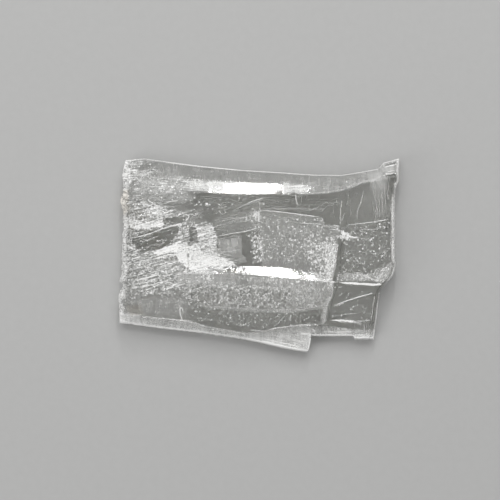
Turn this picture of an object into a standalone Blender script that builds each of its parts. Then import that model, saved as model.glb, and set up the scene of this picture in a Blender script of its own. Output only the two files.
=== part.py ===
"""A cleaved plate of clear selenite from a fishtail twin, lying on its flat cleavage face.

It grew as one piece, so it is one closed solid. Lengths here are millimetres, and Blender gets metres.
X runs along the striations, +Y points to the long back edge, and +Z points up from the cleavage face
that the plate lies on. The origin is on that face, under the middle of the plate's box.

The upper surface is a net. Its long threads are the creases that run the length of the plate, and its
cross threads are the broken ends and the cleavage steps. Neighbouring threads bound one facet.
Splinters and thin flakes of the broken left part are joined to it by a union.
"""

import math
import random
from collections import namedtuple

import bmesh
import bpy
from mathutils import Vector, noise

MM = 0.001

# Half the size of the plate's box
HALF_LENGTH = 39.1
HALF_WIDTH = 27.1

# Heights above the cleavage face
BELT_HEIGHT = 2.8
LEDGE_HEIGHT = 4.3
SPUR_HEIGHT = 4.0
UNDERCUT_HEIGHT = 1.3

# The two polished facets that face the back have this tilt from level, and a slight crown
SHEEN_TILT = math.radians(26)
SHEEN_CROWN = 0.16

# Cleavage steps and the ragged foot
TERRACE_DROP = 1.5
PANEL_STEP = 0.45
LEFT_STEP = 0.5
STEP_HALF_RUN = 0.15
LEDGE_RUN = 0.5
LIP_RUN = 0.4
UNDERCUT_INSET = 0.25
FOOT_INSET = 0.9
FOOT_RAGGEDNESS = 0.35
END_RAGGEDNESS = 0.5

# Outline seen from above, as (x, y) along the two long edges and (y, x) along the two broken ends
BACK_EDGE = [
    (-37.6, 26.4), (-31.9, 27.1), (-27.4, 26.4), (-15.9, 24.9), (-4.5, 23.8), (5.3, 23.2),
    (15.4, 22.5), (23.0, 22.4), (28.6, 23.3), (33.3, 24.2), (34.7, 25.8), (38.9, 27.1),
]
SPUR_EDGE = [
    (-38.9, -18.9), (-33.1, -19.7), (-27.4, -20.5), (-15.9, -21.8), (-4.5, -23.5), (7.0, -26.1),
    (13.5, -27.2),
]
TAIL_EDGE = [(14.0, -22.7), (26.1, -22.7), (26.8, -23.5), (32.1, -23.5)]
LEFT_END = [
    (-18.9, -38.9), (-15.9, -39.0), (-13.4, -39.2), (-10.3, -38.9), (-8.3, -37.9), (-6.9, -38.6),
    (-4.7, -38.1), (-0.8, -38.2), (4.3, -38.1), (6.5, -37.8), (11.5, -37.8), (13.8, -38.3),
    (16.0, -38.5), (17.7, -37.8), (21.1, -38.0), (24.4, -37.8), (26.5, -37.2),
]
RIGHT_END = [
    (-23.4, 32.1), (-19.3, 32.6), (-13.9, 33.2), (-10.0, 33.8), (-7.5, 35.3), (-5.8, 37.0),
    (-4.7, 37.8), (-2.5, 38.2), (-0.8, 38.0), (17.1, 38.0), (19.1, 38.4), (20.8, 39.1), (26.8, 39.1),
]

# Creases along the plate, as (x, y, height)
BACK_CREASE = [
    (-36.0, 17.7, 9.0), (-21.5, 17.3, 9.2), (-10.3, 17.3, 9.3), (1.1, 16.9, 9.2), (9.8, 16.9, 9.1),
    (18.4, 17.5, 8.8), (24.1, 18.5, 8.5), (29.1, 19.8, 8.3), (33.3, 20.8, 8.1), (38.1, 21.6, 7.9),
]
RIDGE = [
    (-36.0, -4.6, 10.2), (-19.9, -5.2, 10.7), (-7.8, -5.2, 10.9), (4.6, -6.0, 11.0),
    (12.6, -6.9, 10.9), (19.5, -7.5, 10.6), (35.3, -8.4, 10.1),
]
FRONT_CURVE = [
    (-36.0, -13.0, 9.4), (-13.7, -14.6, 9.6), (1.1, -15.3, 9.5), (9.8, -15.2, 9.3),
    (18.4, -14.5, 9.0), (24.1, -13.5, 8.8), (28.6, -12.0, 8.7), (32.9, -10.9, 8.6),
]
FRONT_SHOULDER = [
    (-37.1, -16.7, 7.7), (-22.1, -18.1, 7.7), (-15.9, -19.5, 7.4), (-4.5, -21.4, 6.9),
    (2.8, -20.6, 6.9), (9.8, -19.6, 7.0), (17.1, -19.2, 6.9), (24.1, -18.6, 6.6), (32.5, -18.1, 6.2),
]

# Creases whose height follows from the facets beside them, as (x, y), and the panel's height
BACK_SHOULDER = [
    (-36.0, 22.1), (-15.9, 21.1), (-4.5, 20.5), (5.9, 20.0), (17.1, 20.2), (24.1, 20.8),
    (29.1, 21.9), (38.1, 23.4),
]
PANEL_EDGE = [
    (-36.0, 12.0), (-20.0, 12.6), (0.0, 12.7), (17.4, 10.7), (18.4, 9.1), (22.4, 8.7), (37.8, 9.9),
]
RIDGE_FOOT = [
    (-36.0, -0.9), (-19.9, -1.9), (-12.6, -2.5), (-4.5, -3.0), (7.0, -3.5), (12.6, -4.4),
    (17.1, -5.4), (21.3, -6.4), (35.3, -7.2),
]
PANEL_HEIGHT = [(-36.0, 9.3), (0.0, 9.2), (22.0, 9.1), (38.0, 9.0)]
PANEL_RISE = [(-2.0, 0.0), (0.5, 1.0), (22.5, 1.0), (23.0, 0.0)]
LEFT_RISE = [(-6.0, 0.0), (-3.0, 1.0), (10.5, 1.0), (12.5, 0.0)]

# Cross threads, as (y, x): the frosted left zone's edge, the spur's cut end, the terrace and two nicks
LEFT_ZONE = [(-27.0, -22.5), (-5.2, -19.6), (8.0, -21.5), (12.6, -20.4), (27.0, -24.5)]
SPUR_CUT = [(-27.2, 13.4), (-22.7, 14.1), (-19.0, 14.6), (27.0, 16.5)]
TERRACE = [
    (-22.7, 18.1), (-14.6, 18.9), (-6.6, 21.2), (2.6, 21.8), (6.5, 23.3), (13.4, 22.9), (27.0, 24.0),
]
TAIL_NICK = [(-22.7, 26.1), (27.0, 29.6)]
FLARE_NICK = [(-23.5, 29.4), (-10.0, 30.6), (10.0, 32.6), (24.2, 33.3), (27.0, 33.6)]

# Hackles are broken splinters that climb to the right: rows of them, then single long ones
HACKLE_ANGLE = math.radians(16)
HACKLE_SEED = 11
HACKLE_ROWS = 8
HACKLE_COLUMNS = (-35.0, -28.6)
HACKLE_PITCH = 2.5
LONG_HACKLES = [
    ((-35.2, -8.6), (-22.8, -4.4)), ((-34.4, 5.2), (-17.0, 10.4)), ((-31.0, -10.8), (-20.6, -7.6)),
    ((-18.6, 5.6), (-4.2, 9.8)), ((-17.4, 1.2), (-6.0, 4.4)), ((-33.6, 19.4), (-26.0, 21.8)),
    ((-11.4, 7.4), (-2.6, 10.2)), ((-30.4, 10.4), (-20.4, 13.4)),
]
RELIEF_DEPTH = 0.9

# Thin flakes of cleavage that still stand on the plate, as the outline's (x, y) and the rise
FLAKES = [
    ([(-35.2, 4.8), (-34.0, 1.0), (-30.2, 0.8), (-25.8, 2.6), (-22.6, 5.8), (-28.6, 7.4)], 0.3),
    ([(-30.4, 11.6), (-29.4, 10.6), (-26.4, 10.9), (-25.6, 12.9), (-27.2, 14.4), (-29.9, 13.6)], 0.35),
    ([(-11.6, 5.4), (-10.9, 0.7), (-3.4, -1.2), (-5.3, 5.4)], 0.25),
    ([(-33.8, -11.6), (-28.4, -13.4), (-20.6, -11.2), (-21.6, -9.0), (-29.6, -9.4)], 0.3),
]
FLAKE_TAPER = 0.93

LongThread = namedtuple("LongThread", "place steps crown drop")
CrossThread = namedtuple("CrossThread", "table offset steps height")
Line = namedtuple("Line", "before after share")


def mix(a, b, share):
    return a + (b - a) * share


def straight_along(table, at):
    """The value of a table of pairs at one place, with straight runs between its entries."""
    if at <= table[0][0]:
        return table[0][1]
    for (a, start), (b, end) in zip(table, table[1:]):
        if at <= b:
            return mix(start, end, (at - a) / (b - a))
    return table[-1][1]


def smooth_along(table, at, item=1):
    """The chosen item of a table at one place, on a smooth curve through its entries."""
    if at <= table[0][0]:
        return table[0][item]
    if at >= table[-1][0]:
        return table[-1][item]
    last = len(table) - 1
    i = max(k for k in range(last) if table[k][0] <= at)

    def slope(k):
        a, b = max(k - 1, 0), min(k + 1, last)
        return (table[b][item] - table[a][item]) / (table[b][0] - table[a][0])

    width = table[i + 1][0] - table[i][0]
    t = (at - table[i][0]) / width
    s = 1 - t
    ends = table[i][item] * (1 + 2 * t) * s * s + table[i + 1][item] * (3 - 2 * t) * t * t
    return ends + width * t * s * (slope(i) * s - slope(i + 1) * t)


def ragged(x, y, z=0.0, scale=0.3):
    """Smooth noise from about -1 to 1, at a number of bumps per millimetre."""
    return noise.noise(Vector((x, y, z)) * scale)


def crease(table):
    """The place of a long thread whose table gives its height."""
    return lambda x, _: (smooth_along(table, x), smooth_along(table, x, 2))


def sheen_edge(edge, top):
    """The place of a long thread that ends a polished facet, level with or below its other edge."""
    def place(x, _):
        y = smooth_along(edge, x)
        return y, smooth_along(top, x, 2) - math.tan(SHEEN_TILT) * (y - smooth_along(top, x))

    return place


def back_edge(x, _):
    return straight_along(BACK_EDGE, x), BELT_HEIGHT


def panel_low(x, _):
    return smooth_along(PANEL_EDGE, x) + STEP_HALF_RUN, straight_along(PANEL_HEIGHT, x)


def panel_high(x, _):
    rise = PANEL_STEP * straight_along(PANEL_RISE, x)
    return smooth_along(PANEL_EDGE, x) - STEP_HALF_RUN, straight_along(PANEL_HEIGHT, x) + rise


def ledge_root(x, _):
    return smooth_along(FRONT_SHOULDER, x) - LEDGE_RUN, LEDGE_HEIGHT


def front_edge(x, past_cut):
    return straight_along(TAIL_EDGE if past_cut else SPUR_EDGE, x), BELT_HEIGHT


def ledge_lip(x, past_cut):
    return front_edge(x, past_cut)[0] + LIP_RUN, SPUR_HEIGHT


# Each long thread from back to front: its place, the lines since the last one, the crown of the facet
# between them, and the share of the terrace's drop that it takes
LONG_THREADS = [
    LongThread(back_edge, 1, 0.0, 0.0),
    LongThread(sheen_edge(BACK_SHOULDER, BACK_CREASE), 4, 0.35, 0.0),
    LongThread(crease(BACK_CREASE), 4, SHEEN_CROWN, 0.1),
    LongThread(panel_low, 3, 0.0, 0.75),
    LongThread(panel_high, 1, 0.0, 0.75),
    LongThread(sheen_edge(RIDGE_FOOT, RIDGE), 6, 0.0, 1.0),
    LongThread(crease(RIDGE), 3, SHEEN_CROWN, 1.0),
    LongThread(crease(FRONT_CURVE), 4, 0.12, 0.85),
    LongThread(crease(FRONT_SHOULDER), 3, 0.2, 0.55),
    LongThread(ledge_root, 1, 0.0, 0.0),
    LongThread(ledge_lip, 2, 0.0, 0.0),
    LongThread(front_edge, 1, 0.0, 0.0),
]

# Each cross thread from left to right: its table, how far right of it the thread lies, the lines since
# the last one, and the share of the plate's height there
CROSS_THREADS = [
    CrossThread(LEFT_END, 0.0, 1, 0.0),
    CrossThread(LEFT_END, 0.45, 1, 0.42),
    CrossThread(LEFT_END, 1.3, 1, 0.55),
    CrossThread(LEFT_END, 1.8, 1, 0.86),
    CrossThread(LEFT_END, 3.2, 1, 1.0),
    CrossThread(LEFT_ZONE, 0.0, 9, 1.0),
    CrossThread(LEFT_ZONE, 0.5, 1, 1.0),
    CrossThread(SPUR_CUT, 0.0, 15, 1.0),
    CrossThread(SPUR_CUT, 0.45, 1, 1.0),
    CrossThread(TERRACE, 0.0, 4, 1.0),
    CrossThread(TERRACE, 1.1, 1, 1.0),
    CrossThread(TAIL_NICK, 0.0, 4, 1.0),
    CrossThread(TAIL_NICK, 0.7, 1, 1.0),
    CrossThread(FLARE_NICK, 0.0, 2, 1.0),
    CrossThread(FLARE_NICK, 1.3, 1, 1.0),
    CrossThread(RIGHT_END, -1.3, 3, 1.0),
    CrossThread(RIGHT_END, -1.0, 1, 0.66),
    CrossThread(RIGHT_END, -0.4, 1, 0.6),
    CrossThread(RIGHT_END, 0.0, 1, 0.0),
]
LAST_ROUGH_THREAD = 4
LEFT_ZONE_THREAD = 5
CUT_THREAD = 8
TERRACE_THREAD = 10


def lines_of(threads):
    """The net's lines one way: each lies between two threads, at a share of the way."""
    lines = [Line(0, 0, 0.0)]
    for k, thread in enumerate(threads[1:], start=1):
        lines += [Line(k - 1, k, (n + 1) / thread.steps) for n in range(thread.steps)]
    return lines


def cross_x(line, y):
    before, after = (CROSS_THREADS[k] for k in (line.before, line.after))
    start, end = (smooth_along(thread.table, y) + thread.offset for thread in (before, after))
    return mix(start, end, line.share)


def net_point(long_line, cross_line):
    """Where a line along the plate meets a line across it."""
    back, front = LONG_THREADS[long_line.before], LONG_THREADS[long_line.after]
    left, right = CROSS_THREADS[cross_line.before], CROSS_THREADS[cross_line.after]
    thread_number = mix(cross_line.before, cross_line.after, cross_line.share)
    share = long_line.share
    y = 0.0
    for _ in range(12):
        x = cross_x(cross_line, y)
        start, end = (thread.place(x, thread_number >= CUT_THREAD) for thread in (back, front))
        y = mix(start[0], end[0], share)

    z = mix(start[1], end[1], share) + 4 * front.crown * share * (1 - share)
    if thread_number >= TERRACE_THREAD:
        z -= TERRACE_DROP * mix(back.drop, front.drop, share)
    if thread_number <= LEFT_ZONE_THREAD:
        z += LEFT_STEP * straight_along(LEFT_RISE, y)
    height_share = mix(left.height, right.height, cross_line.share)
    z = BELT_HEIGHT + (z - BELT_HEIGHT) * height_share
    if 0 < thread_number <= LAST_ROUGH_THREAD:
        x += END_RAGGEDNESS * ragged(y, z, scale=0.9)
        z += 0.7 * END_RAGGEDNESS * ragged(x, y, 4.0, scale=0.6) * height_share
    return Vector((x, y, z))


def rim_of(net):
    """The net's outer points, anticlockwise seen from above."""
    right = [row[-1] for row in net]
    left = [row[0] for row in net]
    return net[-1][:-1] + right[::-1][:-1] + net[0][::-1][:-1] + left[:-1]


def drawn_in(ring, distance, height, raggedness, seed):
    """A ring of points drawn in towards the plate's middle by about a distance, at one height."""
    moved = []
    for point in ring:
        x = point.x * (1 - distance / HALF_LENGTH) + raggedness * ragged(point.x, point.y, seed)
        y = point.y * (1 - distance / HALF_WIDTH) + raggedness * ragged(point.x, point.y, seed + 20)
        moved.append(Vector((x, y, height)))
    return moved


def mesh_from(bm, name):
    mesh = bpy.data.meshes.new(name)
    bm.to_mesh(mesh)
    bm.free()
    return mesh


def plate_mesh():
    """The plate without its splinters and flakes, as one closed mesh."""
    across = lines_of(CROSS_THREADS)
    net = [[net_point(along, line) for line in across] for along in lines_of(LONG_THREADS)]
    rim = rim_of(net)
    undercut = drawn_in(rim, UNDERCUT_INSET, UNDERCUT_HEIGHT, 0.5 * FOOT_RAGGEDNESS, 3.0)
    foot = drawn_in(rim, FOOT_INSET, 0.0, FOOT_RAGGEDNESS, 8.0)

    bm = bmesh.new()
    grid = [[bm.verts.new(point * MM) for point in row] for row in net]
    for back, front in zip(grid, grid[1:]):
        for i in range(len(back) - 1):
            bm.faces.new((front[i], front[i + 1], back[i + 1], back[i]))
    rings = [rim_of(grid)]
    rings += [[bm.verts.new(point * MM) for point in ring] for ring in (undercut, foot)]
    for upper, lower in zip(rings, rings[1:]):
        for i in range(len(upper)):
            j = (i + 1) % len(upper)
            bm.faces.new((lower[i], lower[j], upper[j], upper[i]))
    bm.faces.new(rings[-1][::-1])
    return mesh_from(bm, "selenite_crystal")


def hull_mesh(corners, name):
    bm = bmesh.new()
    for corner in corners:
        bm.verts.new(corner * MM)
    bmesh.ops.convex_hull(bm, input=bm.verts)
    return mesh_from(bm, name)


def splinter_mesh(start, end, width, height, surface):
    """A long wedge, steep on its front side, that rises out of the plate towards its right end."""
    along = Vector((end[0] - start[0], end[1] - start[1], 0))
    side = Vector((-along.y, along.x, 0)).normalized() * width
    tail, head = Vector((*start, 0)), Vector((*end, 0))
    sunk = Vector((0, 0, surface - RELIEF_DEPTH))
    corners = [
        tail + sunk - side * 0.3,
        tail + sunk + side * 0.3,
        head + sunk + side,
        head + sunk,
        tail + Vector((0, 0, surface - 0.25)),
        head + Vector((0, 0, surface + height)),
        head + side * 0.85 + Vector((0, 0, surface + height * 0.15)),
    ]
    return hull_mesh(corners, "splinter")


def flake_mesh(outline, rise, surface_at):
    """A thin plate with sloping sides that stands on the surface."""
    middle = sum((Vector((x, y, 0)) for x, y in outline), Vector()) / len(outline)
    corners = []
    for x, y in outline:
        top = middle.lerp(Vector((x, y, 0)), FLAKE_TAPER)
        corners.append(Vector((x, y, surface_at(x, y) - RELIEF_DEPTH)))
        corners.append(Vector((top.x, top.y, surface_at(x, y) + rise)))
    return hull_mesh(corners, "flake")


def splinters():
    """(start, end, width, height) of each splinter: the rows on the left end, then the long ones."""
    draw = random.Random(HACKLE_SEED)
    found = []
    for row in range(HACKLE_ROWS):
        for column in HACKLE_COLUMNS:
            x = column + draw.uniform(-0.8, 0.8)
            y = -9.0 + HACKLE_PITCH * row + draw.uniform(-0.5, 0.5)
            length = draw.uniform(4.0, 7.5)
            angle = HACKLE_ANGLE + math.radians(draw.uniform(-3, 3))
            end = (x + length * math.cos(angle), y + length * math.sin(angle))
            found.append(((x, y), end, draw.uniform(0.7, 1.3), draw.uniform(0.3, 0.6)))
    return found + [(start, end, 0.9, 0.35) for start, end in LONG_HACKLES]


def clear_material():
    material = bpy.data.materials.new("selenite")
    material.use_nodes = True
    shader = material.node_tree.nodes["Principled BSDF"]
    shader.inputs["Base Color"].default_value = (0.9, 0.9, 0.88, 1)
    shader.inputs["Roughness"].default_value = 0.08
    shader.inputs["Metallic"].default_value = 0.0
    shader.inputs["IOR"].default_value = 1.52
    shader.inputs["Transmission Weight"].default_value = 0.95
    return material


def clear_scene():
    for obj in list(bpy.data.objects):
        bpy.data.objects.remove(obj)


def add_object(name, mesh, collection):
    obj = bpy.data.objects.new(name, mesh)
    collection.objects.link(obj)
    return obj


def join_relief(plate):
    """Joins the splinters and flakes to the plate, as a collection of hidden solids in a union."""
    relief = bpy.data.collections.new("relief")
    bpy.context.scene.collection.children.link(relief)

    def surface_at(x, y):
        above = Vector((x, y, 30.0)) * MM
        found, place, _, _ = plate.ray_cast(above, Vector((0, 0, -1)))
        return place.z / MM if found else 0.0

    for start, end, width, height in splinters():
        surface = surface_at((start[0] + end[0]) / 2, (start[1] + end[1]) / 2)
        add_object("splinter", splinter_mesh(start, end, width, height, surface), relief)
    for outline, rise in FLAKES:
        add_object("flake", flake_mesh(outline, rise, surface_at), relief)
    for obj in relief.objects:
        obj.hide_render = True
        obj.display_type = "WIRE"

    union = plate.modifiers.new("relief", "BOOLEAN")
    union.operation = "UNION"
    union.operand_type = "COLLECTION"
    union.collection = relief
    union.solver = "EXACT"


def main():
    clear_scene()
    plate = add_object("selenite_crystal", plate_mesh(), bpy.context.scene.collection)
    plate.data.materials.append(clear_material())
    bpy.context.view_layer.update()
    join_relief(plate)


main()
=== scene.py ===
"""The looks of the selenite plate: one fine clear crystal with frosted, scratched and stepped faces,
and the white lines and grains on its surface, lying on a plain pale floor.

Lengths are millimetres until a mesh is made, and Blender gets metres. Outlines and lines are placed
by pixels of the photograph's 500 x 500 frame, written as x, y, x, y and so on. spots() turns them
into the crystal's own x and y.
"""

import math
from collections import namedtuple

import bpy
import numpy as np
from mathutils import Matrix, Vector
from mathutils.bvhtree import BVHTree


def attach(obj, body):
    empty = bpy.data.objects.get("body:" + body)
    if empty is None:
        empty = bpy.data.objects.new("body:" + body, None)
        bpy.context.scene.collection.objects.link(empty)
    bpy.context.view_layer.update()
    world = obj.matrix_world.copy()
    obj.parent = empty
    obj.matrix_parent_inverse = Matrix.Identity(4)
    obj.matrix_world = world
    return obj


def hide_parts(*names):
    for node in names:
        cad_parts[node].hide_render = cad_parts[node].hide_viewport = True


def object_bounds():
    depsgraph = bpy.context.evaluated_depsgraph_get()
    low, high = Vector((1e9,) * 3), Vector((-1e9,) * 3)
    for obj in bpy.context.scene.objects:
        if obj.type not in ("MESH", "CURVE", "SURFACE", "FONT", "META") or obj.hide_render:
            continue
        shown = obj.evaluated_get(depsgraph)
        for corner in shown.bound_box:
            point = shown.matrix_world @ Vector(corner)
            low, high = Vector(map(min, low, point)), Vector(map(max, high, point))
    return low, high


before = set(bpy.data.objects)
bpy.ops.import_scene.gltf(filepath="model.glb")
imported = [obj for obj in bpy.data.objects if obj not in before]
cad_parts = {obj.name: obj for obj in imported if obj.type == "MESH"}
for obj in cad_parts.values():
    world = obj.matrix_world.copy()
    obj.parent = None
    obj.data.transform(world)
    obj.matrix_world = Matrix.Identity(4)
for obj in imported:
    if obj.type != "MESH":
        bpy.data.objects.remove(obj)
CAD_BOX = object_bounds()

MM = 0.001
NODE = "selenite_crystal"

# The photograph's scale, and the pixel over the crystal's origin
MM_PER_PIXEL = 0.28
ORIGIN_PIXEL = (259, 255.25)
FRAME_PIXELS = 500
CAMERA_HEIGHT = 1200
SENSOR_MM = 36


def spot(px, py):
    """The crystal's (x, y) in millimetres under a pixel of the photograph."""
    return (px - ORIGIN_PIXEL[0]) * MM_PER_PIXEL, (ORIGIN_PIXEL[1] - py) * MM_PER_PIXEL


def spots(numbers):
    """The crystal's (x, y) places under pixels that are written as x, y, x, y and so on."""
    return [spot(px, py) for px, py in zip(numbers[::2], numbers[1::2])]


# Heights above the cleavage face
BELT_HEIGHT = 2.8
LEDGE_HEIGHT = 4.3
SPUR_HEIGHT = 4.0
UNDERCUT_HEIGHT = 1.3

# Margins that keep the model inside the CAD solid's box
TOP_MARGIN = 0.03
SIDE_MARGIN = 0.02
TOP_LIMIT = CAD_BOX[1].z / MM - TOP_MARGIN

# The polished facets that face the back, and the steps and insets of the CAD solid
SHEEN_TILT = math.radians(26)
SHEEN_CROWN = 0.05
TERRACE_DROP = 1.5
PANEL_STEP = 0.45
LEFT_STEP = 0.5
STEP_HALF_RUN = 0.15
LEDGE_RUN = 0.5
LIP_RUN = 0.4
UNDERCUT_INSET = 0.35
FOOT_INSET = 0.95
FOOT_RAGGEDNESS = 0.3
HALF_LENGTH = 39.1
HALF_WIDTH = 27.1

# Outline seen from above, as (x, y) along the two long edges and (y, x) along the two broken ends
BACK_EDGE = [
    (-37.6, 26.4), (-31.9, 27), (-27.4, 26.4), (-15.9, 24.9), (-4.5, 23.8), (5.3, 23.2),
    (15.4, 22.5), (23, 22.4), (28.6, 23.3), (33.3, 24.2), (34.7, 25.8), (38.9, 27),
]
SPUR_EDGE = [
    (-38.9, -18.9), (-33.1, -19.7), (-27.4, -20.5), (-15.9, -21.8), (-4.5, -23.5), (7, -26.1),
    (13.5, -27.1),
]
TAIL_EDGE = [(14, -22.7), (26.1, -22.7), (26.8, -23.5), (32.1, -23.5)]
LEFT_END = [
    (-18.9, -38.9), (-15.9, -39), (-13.4, -39.1), (-10.3, -38.9), (-8.3, -37.9), (-6.9, -38.6),
    (-4.7, -38.1), (-0.8, -38.2), (4.3, -38.1), (6.5, -37.8), (11.5, -37.8), (13.8, -38.3),
    (16, -38.5), (17.7, -37.8), (21.1, -38), (24.4, -37.8), (26.5, -37.2),
]
# The corner above the tail block, where y is -10 to -2, is up to 0.8 mm fuller than the CAD solid's
RIGHT_END = [
    (-23.4, 32.1), (-19.3, 32.6), (-13.9, 33.2), (-10.4, 33.8), (-9.4, 34.3), (-8.2, 35.3),
    (-6.8, 36.6), (-5.1, 37.7), (-2.5, 38.2), (-0.8, 38), (17.1, 38), (19.1, 38.4), (20.8, 39.1),
    (26.8, 39.1),
]

# Creases along the plate, as (x, y, height)
BACK_CREASE = [
    (-36, 17.7, 9.2), (-21.5, 17.3, 9.5), (-15, 17.3, 9.56), (-14, 17.28, 9.555),
    (-13, 17.25, 9.525), (1.1, 16.9, 9.223), (6.8, 16.9, 9.032), (7.8, 16.9, 8.999),
    (8.8, 16.91, 8.99), (9.8, 16.94, 8.99), (14, 17.06, 8.995), (18.4, 17.3, 8.98),
    (24.1, 18.4, 8.72), (29.1, 19.8, 8.42), (33.3, 20.8, 8.24), (38.1, 21.9, 8.1), (40.5, 22.5, 8.04),
]
RIDGE = [
    (-36, -4.6, 10.3), (-19.9, -5.2, 10.7), (-7.8, -5.2, 10.43), (4.6, -6.1, 10.6),
    (12.6, -6.9, 10.81), (19.5, -7.5, 10.95), (35.3, -8.4, 10.1),
]
FRONT_CURVE = [
    (-36, -13, 9.4), (-13.7, -14.6, 9.6), (1.1, -15.3, 9.5), (9.8, -15.2, 9.3),
    (18.4, -14.5, 9), (24.1, -13.5, 8.8), (28.6, -12, 8.7), (32.9, -10.9, 8.6),
]
FRONT_SHOULDER = [
    (-37.1, -16.7, 7.7), (-22.1, -18.1, 7.7), (-15.9, -19.5, 7.4), (-4.5, -21.4, 6.9),
    (2.8, -20.6, 6.9), (9.8, -19.6, 7), (17.1, -19.2, 6.9), (24.1, -18.6, 6.6), (32.5, -18.1, 6.2),
]
BACK_SHOULDER = [
    (-36, 22.1), (-15.9, 21.1), (-4.5, 20.5), (5.9, 20), (17.1, 20.2), (24.1, 20.8),
    (29.1, 21.9), (38.1, 23.6), (40.5, 24.1),
]
PANEL_EDGE = [
    (-36, 12), (-20, 12.6), (0, 12.7), (17.4, 10.7), (18.4, 9.1), (22.4, 8.7), (37.8, 9.9),
]
RIDGE_FOOT = [
    (-36, -0.9), (-19.9, -1.9), (-12.6, -2.5), (-4.5, -3), (7, -3.5), (12.6, -4.4),
    (17.1, -5.4), (21.3, -6.4), (35.3, -7.2),
]
PANEL_HEIGHT = [(-36, 9.3), (0, 9.2), (22, 9.1), (38, 9)]
PANEL_RISE = [(-2, 0), (0.5, 1), (22.5, 1), (23, 0)]
LEFT_RISE = [(-6, 0), (-3, 1), (10.5, 1), (12.5, 0)]

# Cross threads, as (y, x)
LEFT_ZONE = [(-27, -22.5), (-5.2, -19.6), (8, -21.5), (12.6, -20.4), (27, -24.5)]
SPUR_CUT = [(-27.2, 13.4), (-22.7, 14.1), (-19, 14.6), (27, 16.5)]
TERRACE = [
    (-22.7, 18.1), (-14.6, 18.9), (-6.6, 21.2), (2.6, 21.8), (6.5, 23.3), (13.4, 22.9), (27, 24),
]
TAIL_NICK = [(-22.7, 26.1), (27, 29.6)]
FLARE_NICK = [(-23.5, 29.4), (-10, 30.6), (10, 32.6), (24.2, 33.3), (27, 33.6)]

# A thread along the plate: where it runs, the net's steps from the thread before it, how far the face
# before it bulges, and its share of the terrace's drop. A thread across it: its line, the offset from
# that line, the steps before it, and the share of the full height that the plate has there.
LongThread = namedtuple("LongThread", "place steps crown drop")
CrossThread = namedtuple("CrossThread", "table offset steps height")


def mix(a, b, share):
    return a + (b - a) * share


def ease(low, high, at):
    """0 below low, 1 above high and a smooth rise between them."""
    t = np.clip((at - low) / (high - low), 0.0, 1.0)
    return t * t * (3 - 2 * t)


def band(at, low, rise_end, fall_start, high):
    """1 in a band and 0 outside it, with a smooth rise and fall at its edges."""
    return ease(low, rise_end, at) * (1 - ease(fall_start, high, at))


def straight_along(table, at):
    """The values of a table of pairs at some places, with straight runs between its entries."""
    return np.interp(at, [p[0] for p in table], [p[1] for p in table])


def smooth_along(table, at, item=1):
    """The chosen item of a table at some places, on a smooth curve through its entries."""
    places = np.array([p[0] for p in table], float)
    values = np.array([p[item] for p in table], float)
    last = len(table) - 1
    before = np.maximum(np.arange(last + 1) - 1, 0)
    after = np.minimum(np.arange(last + 1) + 1, last)
    slopes = (values[after] - values[before]) / (places[after] - places[before])
    at = np.clip(at, places[0], places[-1])
    i = np.clip(np.searchsorted(places, at, side="right") - 1, 0, last - 1)
    width = places[i + 1] - places[i]
    t = (at - places[i]) / width
    s = 1 - t
    ends = values[i] * (1 + 2 * t) * s * s + values[i + 1] * (3 - 2 * t) * t * t
    return ends + width * t * s * (slopes[i] * s - slopes[i + 1] * t)


def noise_at(x, y, size, seed):
    """Smooth noise from -1 to 1 with bumps of about a size in millimetres."""
    lattice = np.random.default_rng(seed).uniform(-1, 1, (257, 257))
    u, v = np.asarray(x) / size + 97.3, np.asarray(y) / size + 61.7
    iu, iv = np.floor(u).astype(int), np.floor(v).astype(int)
    fu, fv = u - iu, v - iv
    fu, fv = fu * fu * (3 - 2 * fu), fv * fv * (3 - 2 * fv)
    iu, iv = iu % 256, iv % 256
    low = mix(lattice[iu, iv], lattice[iu + 1, iv], fu)
    high = mix(lattice[iu, iv + 1], lattice[iu + 1, iv + 1], fu)
    return mix(low, high, fv)


def layered_noise(x, y, size, seed, layers=3):
    """Noise with finer and weaker noise on top of it."""
    total, weight = 0.0, 1.0
    for k in range(layers):
        total = total + weight * noise_at(x, y, size / 2**k, seed + 7 * k)
        weight *= 0.5
    return total / (2 - 2 ** (1 - layers))


def distance_inside(outline, x, y):
    """How far each place is inside a closed outline: negative outside it."""
    inside = np.zeros(np.shape(x), bool)
    nearest = np.full(np.shape(x), 1e9)
    for (ax, ay), (bx, by) in zip(outline, outline[1:] + outline[:1]):
        dx, dy = bx - ax, by - ay
        t = np.clip(((x - ax) * dx + (y - ay) * dy) / (dx * dx + dy * dy), 0, 1)
        nearest = np.minimum(nearest, np.hypot(x - ax - t * dx, y - ay - t * dy))
        if dy:
            crosses = ((ay > y) != (by > y)) & (x < dx * (y - ay) / dy + ax)
            inside ^= crosses
    return np.where(inside, nearest, -nearest)


# The net of the upper surface: the CAD solid's threads, with finer steps between them. The functions
# give the y and height of a thread along the plate at each x.


def crease(table):
    return lambda x, _: (smooth_along(table, x), smooth_along(table, x, 2))


def sheen_edge(edge, top):
    """The lower edge of a polished facet, which falls from its top edge at the same tilt all along."""

    def place(x, _):
        y = smooth_along(edge, x)
        return y, smooth_along(top, x, 2) - math.tan(SHEEN_TILT) * (y - smooth_along(top, x))

    return place


def back_edge(x, _):
    return straight_along(BACK_EDGE, x), np.full_like(x, BELT_HEIGHT)


def panel_low(x, _):
    return smooth_along(PANEL_EDGE, x) + STEP_HALF_RUN, straight_along(PANEL_HEIGHT, x)


def panel_high(x, _):
    rise = PANEL_STEP * straight_along(PANEL_RISE, x)
    return smooth_along(PANEL_EDGE, x) - STEP_HALF_RUN, straight_along(PANEL_HEIGHT, x) + rise


def ledge_root(x, _):
    return smooth_along(FRONT_SHOULDER, x) - LEDGE_RUN, np.full_like(x, LEDGE_HEIGHT)


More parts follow.
